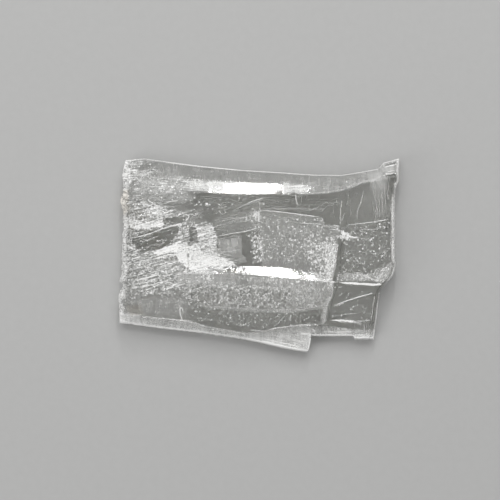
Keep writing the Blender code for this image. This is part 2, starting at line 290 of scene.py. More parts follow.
def front_edge(x, past_cut):
    y = np.where(past_cut, straight_along(TAIL_EDGE, x), straight_along(SPUR_EDGE, x))
    return y, np.full_like(x, BELT_HEIGHT)


def ledge_lip(x, past_cut):
    return front_edge(x, past_cut)[0] + LIP_RUN, np.full_like(x, SPUR_HEIGHT)


LONG_THREADS = [
    LongThread(back_edge, 1, 0, 0),
    LongThread(sheen_edge(BACK_SHOULDER, BACK_CREASE), 18, 0.35, 0),
    LongThread(crease(BACK_CREASE), 20, SHEEN_CROWN, 0.1),
    LongThread(panel_low, 16, 0, 0.75),
    LongThread(panel_high, 2, 0, 0.75),
    LongThread(sheen_edge(RIDGE_FOOT, RIDGE), 60, 0, 1),
    LongThread(crease(RIDGE), 12, SHEEN_CROWN, 1),
    LongThread(crease(FRONT_CURVE), 36, 0.12, 0.85),
    LongThread(crease(FRONT_SHOULDER), 20, 0.2, 0.55),
    LongThread(ledge_root, 8, 0, 0),
    LongThread(ledge_lip, 14, 0, 0),
    LongThread(front_edge, 5, 0, 0),
]
CROSS_THREADS = [
    CrossThread(LEFT_END, 0, 1, 0),
    CrossThread(LEFT_END, 0.45, 6, 0.42),
    CrossThread(LEFT_END, 1.3, 6, 0.55),
    CrossThread(LEFT_END, 1.8, 6, 0.86),
    CrossThread(LEFT_END, 3.2, 8, 1),
    CrossThread(LEFT_ZONE, 0, 62, 1),
    CrossThread(LEFT_ZONE, 0.5, 2, 1),
    CrossThread(SPUR_CUT, 0, 140, 1),
    CrossThread(SPUR_CUT, 0.45, 3, 1),
    CrossThread(TERRACE, 0, 26, 1),
    CrossThread(TERRACE, 1.1, 6, 1),
    CrossThread(TAIL_NICK, 0, 20, 1),
    CrossThread(TAIL_NICK, 0.7, 3, 1),
    CrossThread(FLARE_NICK, 0, 14, 1),
    CrossThread(FLARE_NICK, 1.3, 6, 1),
    CrossThread(RIGHT_END, -1.3, 14, 1),
    CrossThread(RIGHT_END, -1, 3, 0.66),
    CrossThread(RIGHT_END, -0.4, 3, 0.6),
    CrossThread(RIGHT_END, 0, 6, 0),
]
LEFT_ZONE_THREAD = 5
CUT_THREAD = 8
TERRACE_THREAD = 10
SETTLING_ROUNDS = 14


def thread_numbers(threads):
    """Where each line of the net lies among the threads: 2.5 is midway between threads 2 and 3."""
    numbers = [0.0]
    for k, thread in enumerate(threads[1:], start=1):
        numbers += [k - 1 + (n + 1) / thread.steps for n in range(thread.steps)]
    return np.array(numbers)


def between(numbers, threads):
    """The threads on both sides of each line of the net, and its share of the way between them."""
    low = np.clip(np.ceil(numbers).astype(int) - 1, 0, None)
    return low, np.clip(low + 1, 0, len(threads) - 1), numbers - low


def net():
    """The x, y and height of each crossing of the net's lines, and its numbers among the threads."""
    along, across = thread_numbers(LONG_THREADS), thread_numbers(CROSS_THREADS)
    rows, columns = len(along), len(across)
    back, front, share = between(along, LONG_THREADS)
    left, right, reach = between(across, CROSS_THREADS)
    past_cut = np.broadcast_to(across >= CUT_THREAD, (rows, columns))

    def mixed(places, item):
        """The y (item 0) or the height (item 1) of every line along the plate."""
        pairs = zip(back, front, share)
        return np.array([mix(places[b][item][i], places[f][item][i], s) for i, (b, f, s) in enumerate(pairs)])

    # x follows from y and y from x, so both are worked out in turn until they settle
    y = np.zeros((rows, columns))
    for _ in range(SETTLING_ROUNDS):
        ends = [smooth_along(t.table, y) + t.offset for t in CROSS_THREADS]
        x = np.empty_like(y)
        for j in range(columns):
            x[:, j] = mix(ends[left[j]][:, j], ends[right[j]][:, j], reach[j])
        places = [t.place(x, past_cut) for t in LONG_THREADS]
        y = mixed(places, 0)
    z = mixed(places, 1)
    crowns, drops = np.array([(t.crown, t.drop) for t in LONG_THREADS]).T
    heights = np.array([t.height for t in CROSS_THREADS])
    z += (4 * crowns[front] * share * (1 - share))[:, None]
    z -= TERRACE_DROP * mix(drops[back], drops[front], share)[:, None] * (across >= TERRACE_THREAD)
    z += LEFT_STEP * straight_along(LEFT_RISE, y) * (across <= LEFT_ZONE_THREAD)
    z = BELT_HEIGHT + (z - BELT_HEIGHT) * mix(heights[left], heights[right], reach)
    return x, y, z, *np.broadcast_arrays(across, along[:, None])


# Relief on the upper surface

HACKLE_ANGLE = math.radians(16)
# Broken splinters by region: how many, the ranges of their pixel x and y and of their length in pixels,
# and of their width and height in millimetres
HACKLES = [
    (150, (124, 190), (196, 300), (6, 26), (0.35, 0.8), (0.12, 0.4)),
    (46, (190, 262), (196, 262), (8, 30), (0.2, 0.45), (0.05, 0.16)),
    (26, (128, 180), (170, 196), (6, 22), (0.2, 0.5), (0.05, 0.2)),
]


def hackle_lines():
    """(start, end, width, height) of the broken splinters that climb to the right on the left part."""
    draw = np.random.default_rng(11)
    lines = [[draw.uniform(*limits) for limits in ranges] for count, *ranges in HACKLES for _ in range(count)]
    found = []
    for px, py, length, width, height in lines:
        angle = HACKLE_ANGLE + math.radians(draw.uniform(-4, 4))
        end = (px + length * math.cos(angle), py - length * math.sin(angle))
        found.append((spot(px, py), spot(*end), width, height))
    return found


def hackle_relief(x, y):
    """Wedges that rise along their length, with a steep front side and a gentle back side."""
    relief = np.zeros_like(x)
    for (ax, ay), (bx, by), width, height in hackle_lines():
        near = (np.abs(x - (ax + bx) / 2) < 6) & (np.abs(y - (ay + by) / 2) < 3)
        dx, dy = bx - ax, by - ay
        length = math.hypot(dx, dy)
        along = ((x[near] - ax) * dx + (y[near] - ay) * dy) / length**2
        aside = ((y[near] - ay) * dx - (x[near] - ax) * dy) / length
        rise = np.clip(along, 0, 1) * (along < 1.0)
        gentle = np.clip(1 - aside / (width * (0.4 + along)), 0, 1)
        shape = np.where(aside < 0, ease(-0.12, 0.0, aside), gentle)
        relief[near] = np.maximum(relief[near], height * rise * np.where(along < 0, 0, shape))
    return relief


# Outlines that several tables share
FIRST_CLIMB = (217, 218, 260, 214, 260, 227, 217, 235)
RIGHT_STRIP = (393.4, 183, 397, 183, 395, 198, 395, 263, 390.4, 263, 390.4, 203, 392.8, 196)
FALL = (326, 282, 333, 282, 332, 293, 327, 305, 325, 324, 321, 324, 322, 305, 327, 294)
LOW_CORNER = (353, 334, 374, 334, 374, 340, 353, 340)
SPLINTERED = (126, 198, 188, 206, 216, 226, 216, 262, 186, 291, 126, 296)

# Thin plates of cleavage that stand on the surface or are split from it: the rise and the width of the
# edge in millimetres, then the outline
PLATES = [
    (-0.3, 0.25, 133.9, 238, 155.9, 229.4, 177, 225.6, 178.9, 234.2, 167.4, 245.7, 153, 252.4, 141.6,
     253.3),
    (0.35, 0.3, 150, 206, 156, 203, 166, 206, 168, 213, 160, 218, 152, 214),
    (-0.35, 0.25, 163.6, 216.5, 185.6, 214.5, 186, 218.5, 164, 221.5),
    (0.2, 0.2, 218, 236, 240, 236, 247, 262, 220, 253),
    (0.16, 0.25, 139, 294, 186.5, 291, 212, 284, 208, 300, 150, 306),
    (-0.12, 0.2, 259.5, 197, 300, 197, 341, 199, 341, 206, 322, 209.5, 259.5, 209),
    (0.1, 0.15, 259.5, 210, 321, 217, 324, 224, 303, 223, 259.5, 214),
    (0.14, 0.15, 324, 226, 340, 227, 339, 233, 327, 230),
    (0.14, 0.2, 300, 246, 338, 245, 335, 266, 330, 281, 318, 276, 303, 271),
    (-0.25, 0.3, 196, 306, 234, 307.4, 264, 309.8, 293, 309, 323.5, 306, 323, 323, 266, 328, 200, 318),
    (-0.22, 0.25, 326, 305, 349, 300.5, 374, 294, 369, 329, 336, 332, 326, 331),
    (0.22, 0.2, 336, 320, 360, 321, 371, 319.5, 370, 329, 338, 331),
    (-0.2, 0.2, 342, 225, 357, 224.6, 379, 221.4, 393, 220, 393, 262, 376, 280, 341, 281),
    (0.14, 0.2, 362, 194, 357, 211, 357, 221, 379, 219, 381, 184, 370, 186),
    (0.1, 0.6, 381, 184, 380, 219, 386, 218, 386, 182.5),
    (-0.2, 0.2, 387, 184, 388, 217, 394, 216, 394, 190, 394, 184),
    (-0.14, 0.5, 378, 171, 384, 166.2, 395.5, 163.8, 396.5, 175, 384, 176),
    (0.12, 0.15, 342, 200, 357, 196, 353, 220, 342, 221),
]


def plate_relief(x, y):
    """The rise of the thin plates, with edges that wander a little."""
    relief = np.zeros_like(x)
    wander = 0.12 * noise_at(x, y, 0.8, 31)
    for rise, edge, *outline in PLATES:
        relief += rise * ease(-edge / 2, edge / 2, distance_inside(spots(outline), x, y) + wander)
    return relief


def left_weight(x, y):
    """1 on the broken left part, fading to 0 on the clear middle."""
    return 1 - ease(-24.0, -17.0, x + 1.5 * noise_at(x, y, 3.0, 5))


def relief_at(x, y):
    """The fine relief in millimetres, from broken splinters down to striations."""
    sheen = ease(-21, -19, x) * ease(15, 16.3, y)
    relief = hackle_relief(x, y) * ease(-39, -36, x) * (1 - sheen)
    relief += plate_relief(x, y)
    relief += 0.1 * left_weight(x, y) * band(y, -19, -15, 16, 20) * layered_noise(x, y, 1.4, 17, 4)
    relief += 0.006 * layered_noise(x * 0.12, y, 0.8, 23, 3)
    grainy = band(x, -19, -16.5, -6.5, -5) * band(y, -5, -3.5, 2, 4)
    relief += 0.09 * grainy * layered_noise(x * 0.4 + 0.12 * y, y - 0.28 * x, 0.7, 25, 3)
    curtain = ease(29, 31.5, x) * band(y, 9, 11, 16, 17.5)
    return relief + 0.03 * curtain * noise_at(x, y * 0.05, 1.0, 41)


def blocky(u, v, size, seed, levels=3):
    """Noise in flat steps, for layers that broke off one by one."""
    return np.round(levels * noise_at(u, v, size, seed)) / levels


def roughen_end(x, y, z, cross):
    """Breaks the left end into ledges, splinters and chips."""
    rim = (cross > 0.01) * (1 - ease(3.4, 5.2, cross))
    ledges = blocky(y - 0.3 * x, z * 2.2, 1.1, 52)
    x = x + rim * (0.4 * layered_noise(y, z * 1.5, 1.5, 51) + 0.35 * ledges)
    chips = blocky(x, y * 0.8 - 0.25 * x, 0.9, 54)
    z = z + rim * (0.35 * layered_noise(x * 1.2, y, 1.7, 53, 4) + 0.3 * chips)
    y = y + 0.15 * rim * layered_noise(x, y + z, 0.9, 57)
    return x, y, z


# Soft zones of haze, frost and stain. Each row says how strong a zone is, how soft its edge is in
# millimetres, and its outline.

# Grey haze under the surface
HAZE_ZONES = [
    (0.22, 0.3, 124, 160, 146, 157, 165, 161, 190, 164, 220, 167, 260, 170, 314, 174, 341, 174, 361,
     171, 381, 166, 384, 176, 372, 182, 362, 183, 352, 188, 341, 190.5, 325, 193.7, 300, 194.7, 285,
     190, 270, 184, 234, 184, 211, 182, 179, 181, 163, 179, 140, 179, 124, 178),
    (0.18, 0.8, 120, 176, 139, 178, 214, 183, 212, 192, 150, 195, 120, 196),
    (0.06, 1.2, 118, 196, 190, 206, 214, 226, 220, 264, 205, 285, 180, 292, 118, 298),
    (0.17, 1.6, 124, 188, 180, 189, 196, 196, 184, 205, 150, 203, 124, 200),
    (0.36, 0.4, *RIGHT_STRIP),
    (0.7, 1.2, 118, 312, 141, 314, 143, 328, 118, 328),
    (0.8, 0.2, 284, 348, 262, 343, 262, 340, 284, 345, 306, 350, 306, 353),
    (0.2, 4.5, 112, 296, 140, 295, 160, 296, 186, 295, 188, 318, 112, 317),
    (0.36, 0.6, 178, 272, 204, 271, 205, 281, 196, 286, 178, 287),
    (0.28, 2, 202, 270, 236, 272, 238, 286, 200, 288),
    (0.22, 0.08, 217, 240.3, 241.6, 237, 242, 253, 219, 252),
    (0.08, 1, 214, 218, 260, 208, 260, 228, 217, 236),
    (0.14, 0.3, 219, 252, 242, 253, 247.5, 262, 224, 264),
    (0.26, 0.8, 187.6, 246, 216, 246, 226, 262, 236, 265, 190, 269),
    (0.11, 0.3, 259.5, 210, 322, 217, 324, 225, 340, 227, 337, 239, 335, 266, 330, 281, 262, 268, 260,
     260),
    (0.3, 0.3, 325, 244, 338, 244, 335.5, 266, 331, 282, 324, 282),
    (0.3, 0.6, *FALL),
    (0.17, 0.8, 204, 271, 262, 276, 330, 281, 325, 292, 290, 291, 240, 287, 206, 284),
    (0.46, 0.2, 246, 333, 266, 329.5, 295, 324.5, 311, 323.5, 311, 337, 307, 353, 284, 349, 262, 343,
     246, 340),
    (0.5, 0.2, 118, 314, 164, 318, 189, 320, 206, 325, 246, 333, 250, 341, 202, 334, 161, 329, 118,
     325),
    (0.34, 1.5, 112, 157, 128, 157, 127, 200, 124, 240, 127, 290, 123, 330, 112, 330),
    (0.2, 0.6, 311, 326, 326, 326, 326, 337, 311, 337),
    (0.1, 1.6, 366, 170, 386, 166, 387, 190, 372, 190),
    (0.22, 0.9, 206, 304, 262, 308, 293, 307.5, 324, 303, 323, 307.5, 293, 312, 262, 312.4, 206, 308),
    (0.14, 4, 286, 284, 327, 284, 326, 304, 292, 305),
    (0.2, 1, 336, 272.6, 374, 274, 380, 281.4, 336, 280.6),
    (0.28, 2.6, 370, 281, 381, 267, 395, 261, 395, 266, 392, 275, 386, 283),
    (0.34, 0.2, 379, 168, 381, 161, 399, 157, 399, 173, 385, 175),
    (0.6, 0.4, 391, 159, 399, 157, 399, 162, 391, 163),
    (0.42, 0.3, 396, 160, 400, 157, 400, 182, 395, 196, 393, 188, 396, 180),
    (0.26, 0.3, 325, 325, 353, 329, 375, 329, 374, 340, 352, 340, 325, 337),
    (0.5, 0.4, *LOW_CORNER),
]

# Curtains of upright layers
CURTAINS = [
    (0.2, 2, 366, 168, 384, 165, 386, 221, 374, 221, 370, 196),
    (0.06, 1.6, 357, 172, 373, 168, 376, 222, 355, 222, 361, 196),
]

# White frost that a grain breaks up, where cleavage has split and bruised the surface
FROST_ZONES = [
    (0.62, 1, 118, 157, 131, 156, 133, 170, 131, 184, 129, 197, 131, 222, 128, 246, 130, 270, 127,
     292, 130, 300, 126, 310, 128, 326, 117, 326),
    (0.4, 1.2, 124, 157, 140, 157, 156, 168, 158, 172, 140, 180, 124, 180),
    (0.44, 1.2, 122, 196, 150, 203, 186, 212, 192, 222, 216, 228, 218, 262, 212, 284, 188, 291, 138,
     296, 120, 299),
    (0.58, 1, 150, 207, 160, 204, 168, 207, 170, 217, 154, 220),
    (0.66, 1, 130, 221, 164, 220, 165, 227, 150, 230, 130, 229),
    (0.74, 0.8, 150, 256, 153, 250, 167, 246, 180, 240, 188, 243, 188, 262, 179, 262, 176, 252, 160,
     256),
    (0.7, 0.35, 184.6, 243, 188.2, 243, 188.4, 276, 184.8, 276),
    (0.56, 1, 194, 222, 216, 226, 219, 250, 202, 262, 189, 262, 189, 245),
    (0.68, 1.2, 188, 250, 216, 254, 236, 263, 240, 268, 212, 268, 188, 272),
    (0.45, 1.6, 250, 211, 261, 210, 261, 222, 251, 223),
    (0.42, 0.8, 250, 236, 264, 236, 264, 262, 252, 262),
    (0.4, 1.2, 300, 240, 338, 242, 336, 262, 331, 281, 316, 279),
    (0.5, 0.6, 322, 246, 338, 246, 335, 266, 330, 282, 323, 281),
    (0.22, 1.5, 246, 214, 322, 220, 338, 232, 330, 262, 262, 262, 246, 240),
    (0.3, 4, 262, 222, 300, 222, 322, 228, 318, 244, 268, 240),
    (0.24, 2.5, 186, 306, 262, 309, 320, 307, 318, 323, 262, 328, 200, 325),
    (0.2, 2.5, 196, 180, 220, 182, 222, 191, 196, 190),
    (0.5, 1, 203, 181.2, 234, 182.6, 226, 185.6, 213, 189, 204, 191),
    (0.16, 2, 336, 286, 374, 288, 370, 318, 330, 318),
    (0.26, 1.5, 336, 226, 392, 222, 392, 262, 342, 268),
    (0.45, 0.3, *RIGHT_STRIP),
    (0.36, 0.6, *FALL),
    (0.26, 1.6, 124, 186, 186, 188, 190, 200, 150, 203, 124, 200),
    (0.13, 2.5, 150, 194, 262, 196, 262, 210, 218, 214, 160, 200),
    (0.15, 2.2, 374, 279, 388, 263, 395, 262, 392, 275, 386, 283),
    (0.72, 0.9, 339, 231, 345, 232, 351, 236, 347, 240, 340, 240),
    (0.32, 1.4, 336, 270, 374, 274, 378, 281, 336, 281),
    (0.36, 0.8, 136, 177, 180, 177, 200, 180, 202, 190, 180, 191, 136, 192),
    (0.45, 0.8, 186, 178, 203, 180, 205, 189, 186, 188),
    (0.5, 0.5, 283, 182, 298, 184, 312, 188, 300, 194, 284, 193),
    (0.95, 0.15, 336, 319.5, 352, 319.5, 360.5, 321, 360.5, 324.5, 350, 323, 337, 321.8),
    (0.42, 2, 176, 285, 200, 283, 330, 284, 326, 303, 290, 310, 190, 308),
    (0.2, 3, 150, 292, 196, 286, 192, 310, 160, 306),
    (1, 0.7, 117, 312, 130, 316, 141, 315, 142, 326, 118, 326),
    (0.6, 0.6, 184, 322, 212, 327, 212, 334, 184, 331),
    (0.45, 1.2, 290, 325, 311, 327, 311, 337, 292, 334),
    (0.24, 1.2, 262, 332, 310, 328, 308, 350, 270, 342),
    (0.4, 0.8, 142, 316, 190, 320, 250, 334, 250, 340, 190, 331, 142, 325),
    (0.45, 0.6, 311, 326, 327, 326, 327, 336, 311, 336),
    (1, 0.5, 325, 329, 340, 330, 352, 329.4, 353, 333.4, 325, 333.6),
    (0.5, 0.4, *LOW_CORNER),
    (0.8, 0.8, 298, 328, 318, 328.4, 318, 332, 300, 333),
    (0.2, 0.4, 381, 161, 394, 158, 399, 158, 399, 164, 382, 169),
]

# Clear windows in the haze and frost
CLEAR_WINDOWS = [
    (0.5, 0.6, 282, 339.5, 298, 338.4, 304, 341, 290, 342.6),
    (0.4, 0.5, 290, 344.6, 304, 344, 305, 346.6, 294, 346.4),
    (0.9, 0.35, 133.6, 239, 149, 233.5, 163, 229.6, 178, 225.6, 179, 232.5, 173, 240.4, 165, 247.2, 153,
     252.1, 142.4, 252.1, 132.6, 242.4),
    (0.9, 0.2, 163.6, 219.2, 179, 216.8, 185.6, 216.8, 185.6, 221.2, 178.8, 221.7, 165, 224.1),
    (0.95, 0.3, 190, 227.5, 197, 227.5, 198, 242, 190.5, 243),
    (0.95, 0.1, 217.5, 240.3, 241.6, 237, 242, 253, 219, 252),
    (0.8, 0.4, 242, 240, 250.5, 238, 251, 263, 244, 262),
    (0.8, 0.3, 336, 240, 340.5, 240, 340.5, 276, 334, 278),
    (0.5, 0.5, 136, 166, 160, 163, 150, 168, 138, 171),
    (0.9, 0.15, 384, 165.4, 390, 163.9, 395, 162.5, 395, 163.6, 390, 165.2, 384, 166.5),
]
# Smooth hazy places without frost
SMOOTH_WINDOWS = [
    (0.9, 1, 124, 300, 140, 298, 160, 299, 181, 298, 181, 314, 128, 312),
    (0.85, 0.4, 178.5, 273, 203, 272, 204, 281, 196, 285, 178.5, 286),
]


# Faint warm stains
STAINS = [
    (0.5, 1.2, 119, 192, 129, 190, 131, 208, 127, 216, 120, 214),
    (0.5, 1.4, 127, 306, 142, 304.5, 144, 312, 131, 315.5),
]


def zones_at(zones, x, y, seed, raggedness):
    """The strongest of some soft zones at each place, with edges that wander by some millimetres."""
    streaked = layered_noise(x * 0.4, y + 0.28 * x, 0.5, seed + 50, 2)
    wander = 0.6 * layered_noise(x, y, 2.2, seed, 4) + 0.4 * streaked
    total = np.zeros_like(x)
    for amount, soft, *outline in zones:
        reach = distance_inside(spots(outline), x, y) + raggedness * min(1.0, 2 * soft) * wander
        total = np.maximum(total, amount * ease(-soft / 2, soft / 2, reach))
    return total


def clearness_at(x, y):
    """1 in the clear windows, 0 elsewhere."""
    return zones_at(CLEAR_WINDOWS, x, y, 91, 0.5)


def smoothness_at(x, y):
    """1 in the windows without frost, 0 elsewhere."""
    return np.maximum(clearness_at(x, y), zones_at(SMOOTH_WINDOWS, x, y, 93, 0.5))


def stain_at(x, y):
    """The strength of the warm stains, from 0 to 1."""
    return zones_at(STAINS, x, y, 95, 0.5)


SPUR_TIP_X = 13.7
RIM_HIGHLIGHT_WIDTH = 0.34


def painted_rim_highlight(x, y, width):
    """A painted rim highlight: 1 along the outline, falling to 0 at about a width inside it."""
    back = straight_along(BACK_EDGE, x) - y
    front = y - np.where(x > SPUR_TIP_X, straight_along(TAIL_EDGE, x), straight_along(SPUR_EDGE, x))
    front = np.abs(front - LIP_RUN)
    right = straight_along(RIGHT_END, y) - x
    left = (x - straight_along(LEFT_END, y)) * 1.8
    nearest = np.minimum(np.minimum(back, front), np.minimum(right * 0.6, left))
    return 1 - ease(0.4 * width, width, nearest)


def haze_and_rim_highlight_at(x, y):
    """The share of light that the haze scatters back, from 0 to 1, with a painted rim highlight added along
    the outline.
    """
    upright = noise_at(x, y * 0.12, 0.35, 101)
    flat = noise_at(x * 0.1, y, 0.4, 103)
    mottle = layered_noise(x, y, 1.5, 105, 3)
    haze = 0.02 + zones_at(HAZE_ZONES, x, y, 107, 0.35) * (1 + 0.3 * upright + 0.18 * flat + 0.25 * mottle)
    # The clear windows of the middle have haze under them, and those of the left part and the sides don't
    haze *= 1 - 0.8 * clearness_at(x, y) * ((x < -12.2) | (np.abs(y) > 20))
    leaning = x + 0.05 * (y - 12) + 0.12 * noise_at(x, y * 0.3, 1.5, 113)
    waves = 0.6 * noise_at(leaning, y * 0.05, 0.9, 115) + 0.5 * noise_at(leaning, y * 0.05, 0.3, 117)
    folds = mix(0.6, 1.0, ease(-0.25, 0.8, waves))
    haze += folds * mix(0.35, 1.0, ease(10, 21, y)) * zones_at(CURTAINS, x, y, 119, 0.2)
    # The outline gets a painted rim highlight on top of the haze
    return np.clip(haze + 0.6 * painted_rim_highlight(x, y, RIM_HIGHLIGHT_WIDTH), 0, 0.9)


def frost_at(x, y):
    """The share of the surface that white frost covers, from 0 to 1."""
    return zones_at(FROST_ZONES, x, y, 111, 1.5) * (1 - smoothness_at(x, y))


# Meshes


def mesh_object(name, vertices, faces, material, smooth=True):
    mesh = bpy.data.meshes.new(name)
    mesh.from_pydata((np.asarray(vertices) * MM).tolist(), [], faces)
    mesh.materials.append(material)
    if smooth:
        mesh.shade_smooth()
    mesh.update()
    obj = bpy.data.objects.new(name, mesh)
    bpy.context.scene.collection.objects.link(obj)
    return obj


def grid_faces(rows, columns):
    index = np.arange(rows * columns).reshape(rows, columns)
    corners = [index[1:, :-1], index[1:, 1:], index[:-1, 1:], index[:-1, :-1]]
    return np.stack(corners, -1).reshape(-1, 4)


def rim_index(rows, columns):
    """The net's outer points, anticlockwise seen from above."""
    index = np.arange(rows * columns).reshape(rows, columns)
    return np.concatenate([index[-1, :-1], index[::-1, -1][:-1], index[0, ::-1][:-1], index[:-1, 0]])


def drawn_in(ring, distance, height, raggedness, seed):
    """A ring of points drawn in towards the crystal's middle by about a distance, at one height."""
    x, y = ring[:, 0], ring[:, 1]
    inner_x = x * (1 - distance / HALF_LENGTH) + raggedness * noise_at(x, y, 2.0, seed)
    inner_y = y * (1 - distance / HALF_WIDTH) + raggedness * noise_at(x, y, 2.0, seed + 1)
    return np.stack([inner_x, inner_y, np.full(len(x), height)], 1)


def side_layers(upper, lower, count, seed):
    """Rings from one ring down to another, in thin layers that stand out by uneven amounts."""
    length = np.cumsum(np.hypot(*np.diff(upper[:, :2], axis=0, prepend=upper[:1, :2]).T))
    middle = upper[:, :2] / np.maximum(1.0, np.hypot(upper[:, 0], upper[:, 1]))[:, None]
    rings = []
    for n in range(1, count):
        ring = mix(upper, lower, n / count)
        out = 0.16 * (-1) ** n * (0.6 + 0.6 * blocky(length, length * 0, 3.0, seed + n))
        wave = 0.05 * noise_at(length, length * 0, 2.5, seed + 20 + n)
        moved = ring[:, :2] + middle * np.minimum(out, 0.0)[:, None]
        rings.append(np.column_stack([moved, ring[:, 2] + wave]))
    return rings + [lower]


def crystal_surface():
    """The upper surface's points as x, y and z arrays, with its haze and painted rim highlight, its frost and
    its stains.
    """
    x, y, z, cross, long = net()
    last_cross, last_long = len(CROSS_THREADS) - 1, len(LONG_THREADS) - 1
    # The relief fades out towards the rim
    inner = band(cross, 0, 0.5, last_cross - 0.4, last_cross) * band(long, 0, 0.4, last_long - 0.3, last_long)
    masks = haze_and_rim_highlight_at(x, y), frost_at(x, y), stain_at(x, y)
    z = z + relief_at(x, y) * inner
    x, y, z = roughen_end(x, y, z, cross)
    low, high = (np.array(corner) / MM for corner in CAD_BOX)
    x, y = (np.clip(v, low[k] + SIDE_MARGIN, high[k] - SIDE_MARGIN) for k, v in enumerate((x, y)))
    return x, y, np.minimum(z, TOP_LIMIT), *masks


SHARP_ANGLE = math.radians(24)
BROKEN_SIDE_X = -36.5


def add_mask(obj, name, upper, side):
    """A value for each point of the crystal, for its material to read."""
    mask = obj.data.attributes.new(name, "FLOAT", "POINT")
    mask.data.foreach_set("value", np.concatenate([upper.ravel(), side]).astype(np.float32))


def crystal_object(material, x, y, z, haze, frost, stain):
    """The closed crystal: the upper surface, the layered sides in rings, and the flat resting face."""
    rows, columns = x.shape
    points = [np.stack([x.ravel(), y.ravel(), z.ravel()], 1)]
    rim = rim_index(rows, columns)
    edge = points[0][rim]
    undercut = drawn_in(edge, UNDERCUT_INSET, UNDERCUT_HEIGHT, 0.15, 61)
    foot = drawn_in(edge, FOOT_INSET, 0.0, FOOT_RAGGEDNESS, 65)
    rings = side_layers(edge, undercut, 6, 171) + side_layers(undercut, foot, 5, 181)
    faces = grid_faces(rows, columns).tolist()
    upper = rim
    total = rows * columns
    for ring in rings:
        points.append(ring)
        lower = total + np.arange(len(ring))
        total += len(ring)
        faces += np.stack([lower, np.roll(lower, -1), np.roll(upper, -1), upper], 1).tolist()
        upper = lower
    faces.append(upper[::-1].tolist())
    obj = mesh_object("crystal", np.concatenate(points), faces, material)
    obj.data.set_sharp_from_angle(angle=SHARP_ANGLE)
    side = np.concatenate(rings)
    broken = (side[:, 0] < BROKEN_SIDE_X).astype(float)
    # The last ring carries the resting face, which is scratched but has no haze or frost
    resting = (np.arange(len(side)) >= len(side) - len(rim)).astype(float)
    # The haze mask also carries the painted rim highlight along the outline
    add_mask(obj, "haze", haze, mix(0.4, 0.6, broken) * (1 - resting))
    add_mask(obj, "frost", frost, mix(0.35, 0.9, broken) * (1 - resting))
    add_mask(obj, "stain", stain, stain_at(side[:, 0], side[:, 1]))
    add_mask(obj, "resting", np.zeros_like(haze), resting)
    return obj


# Bright lines: the edges of cleavage steps, cracks and splinters, laid on the upper surface. Some of them are
# painted glints and highlights on edges and along the ridge.

WHITE, SOFT, FAINT = 0, 1, 2
TONES = [(WHITE, "frost_and_glint_lines", 1), (SOFT, "soft_lines", 0.5), (FAINT, "faint_lines", 0.25)]
Line = namedtuple("Line", "tone start end points")

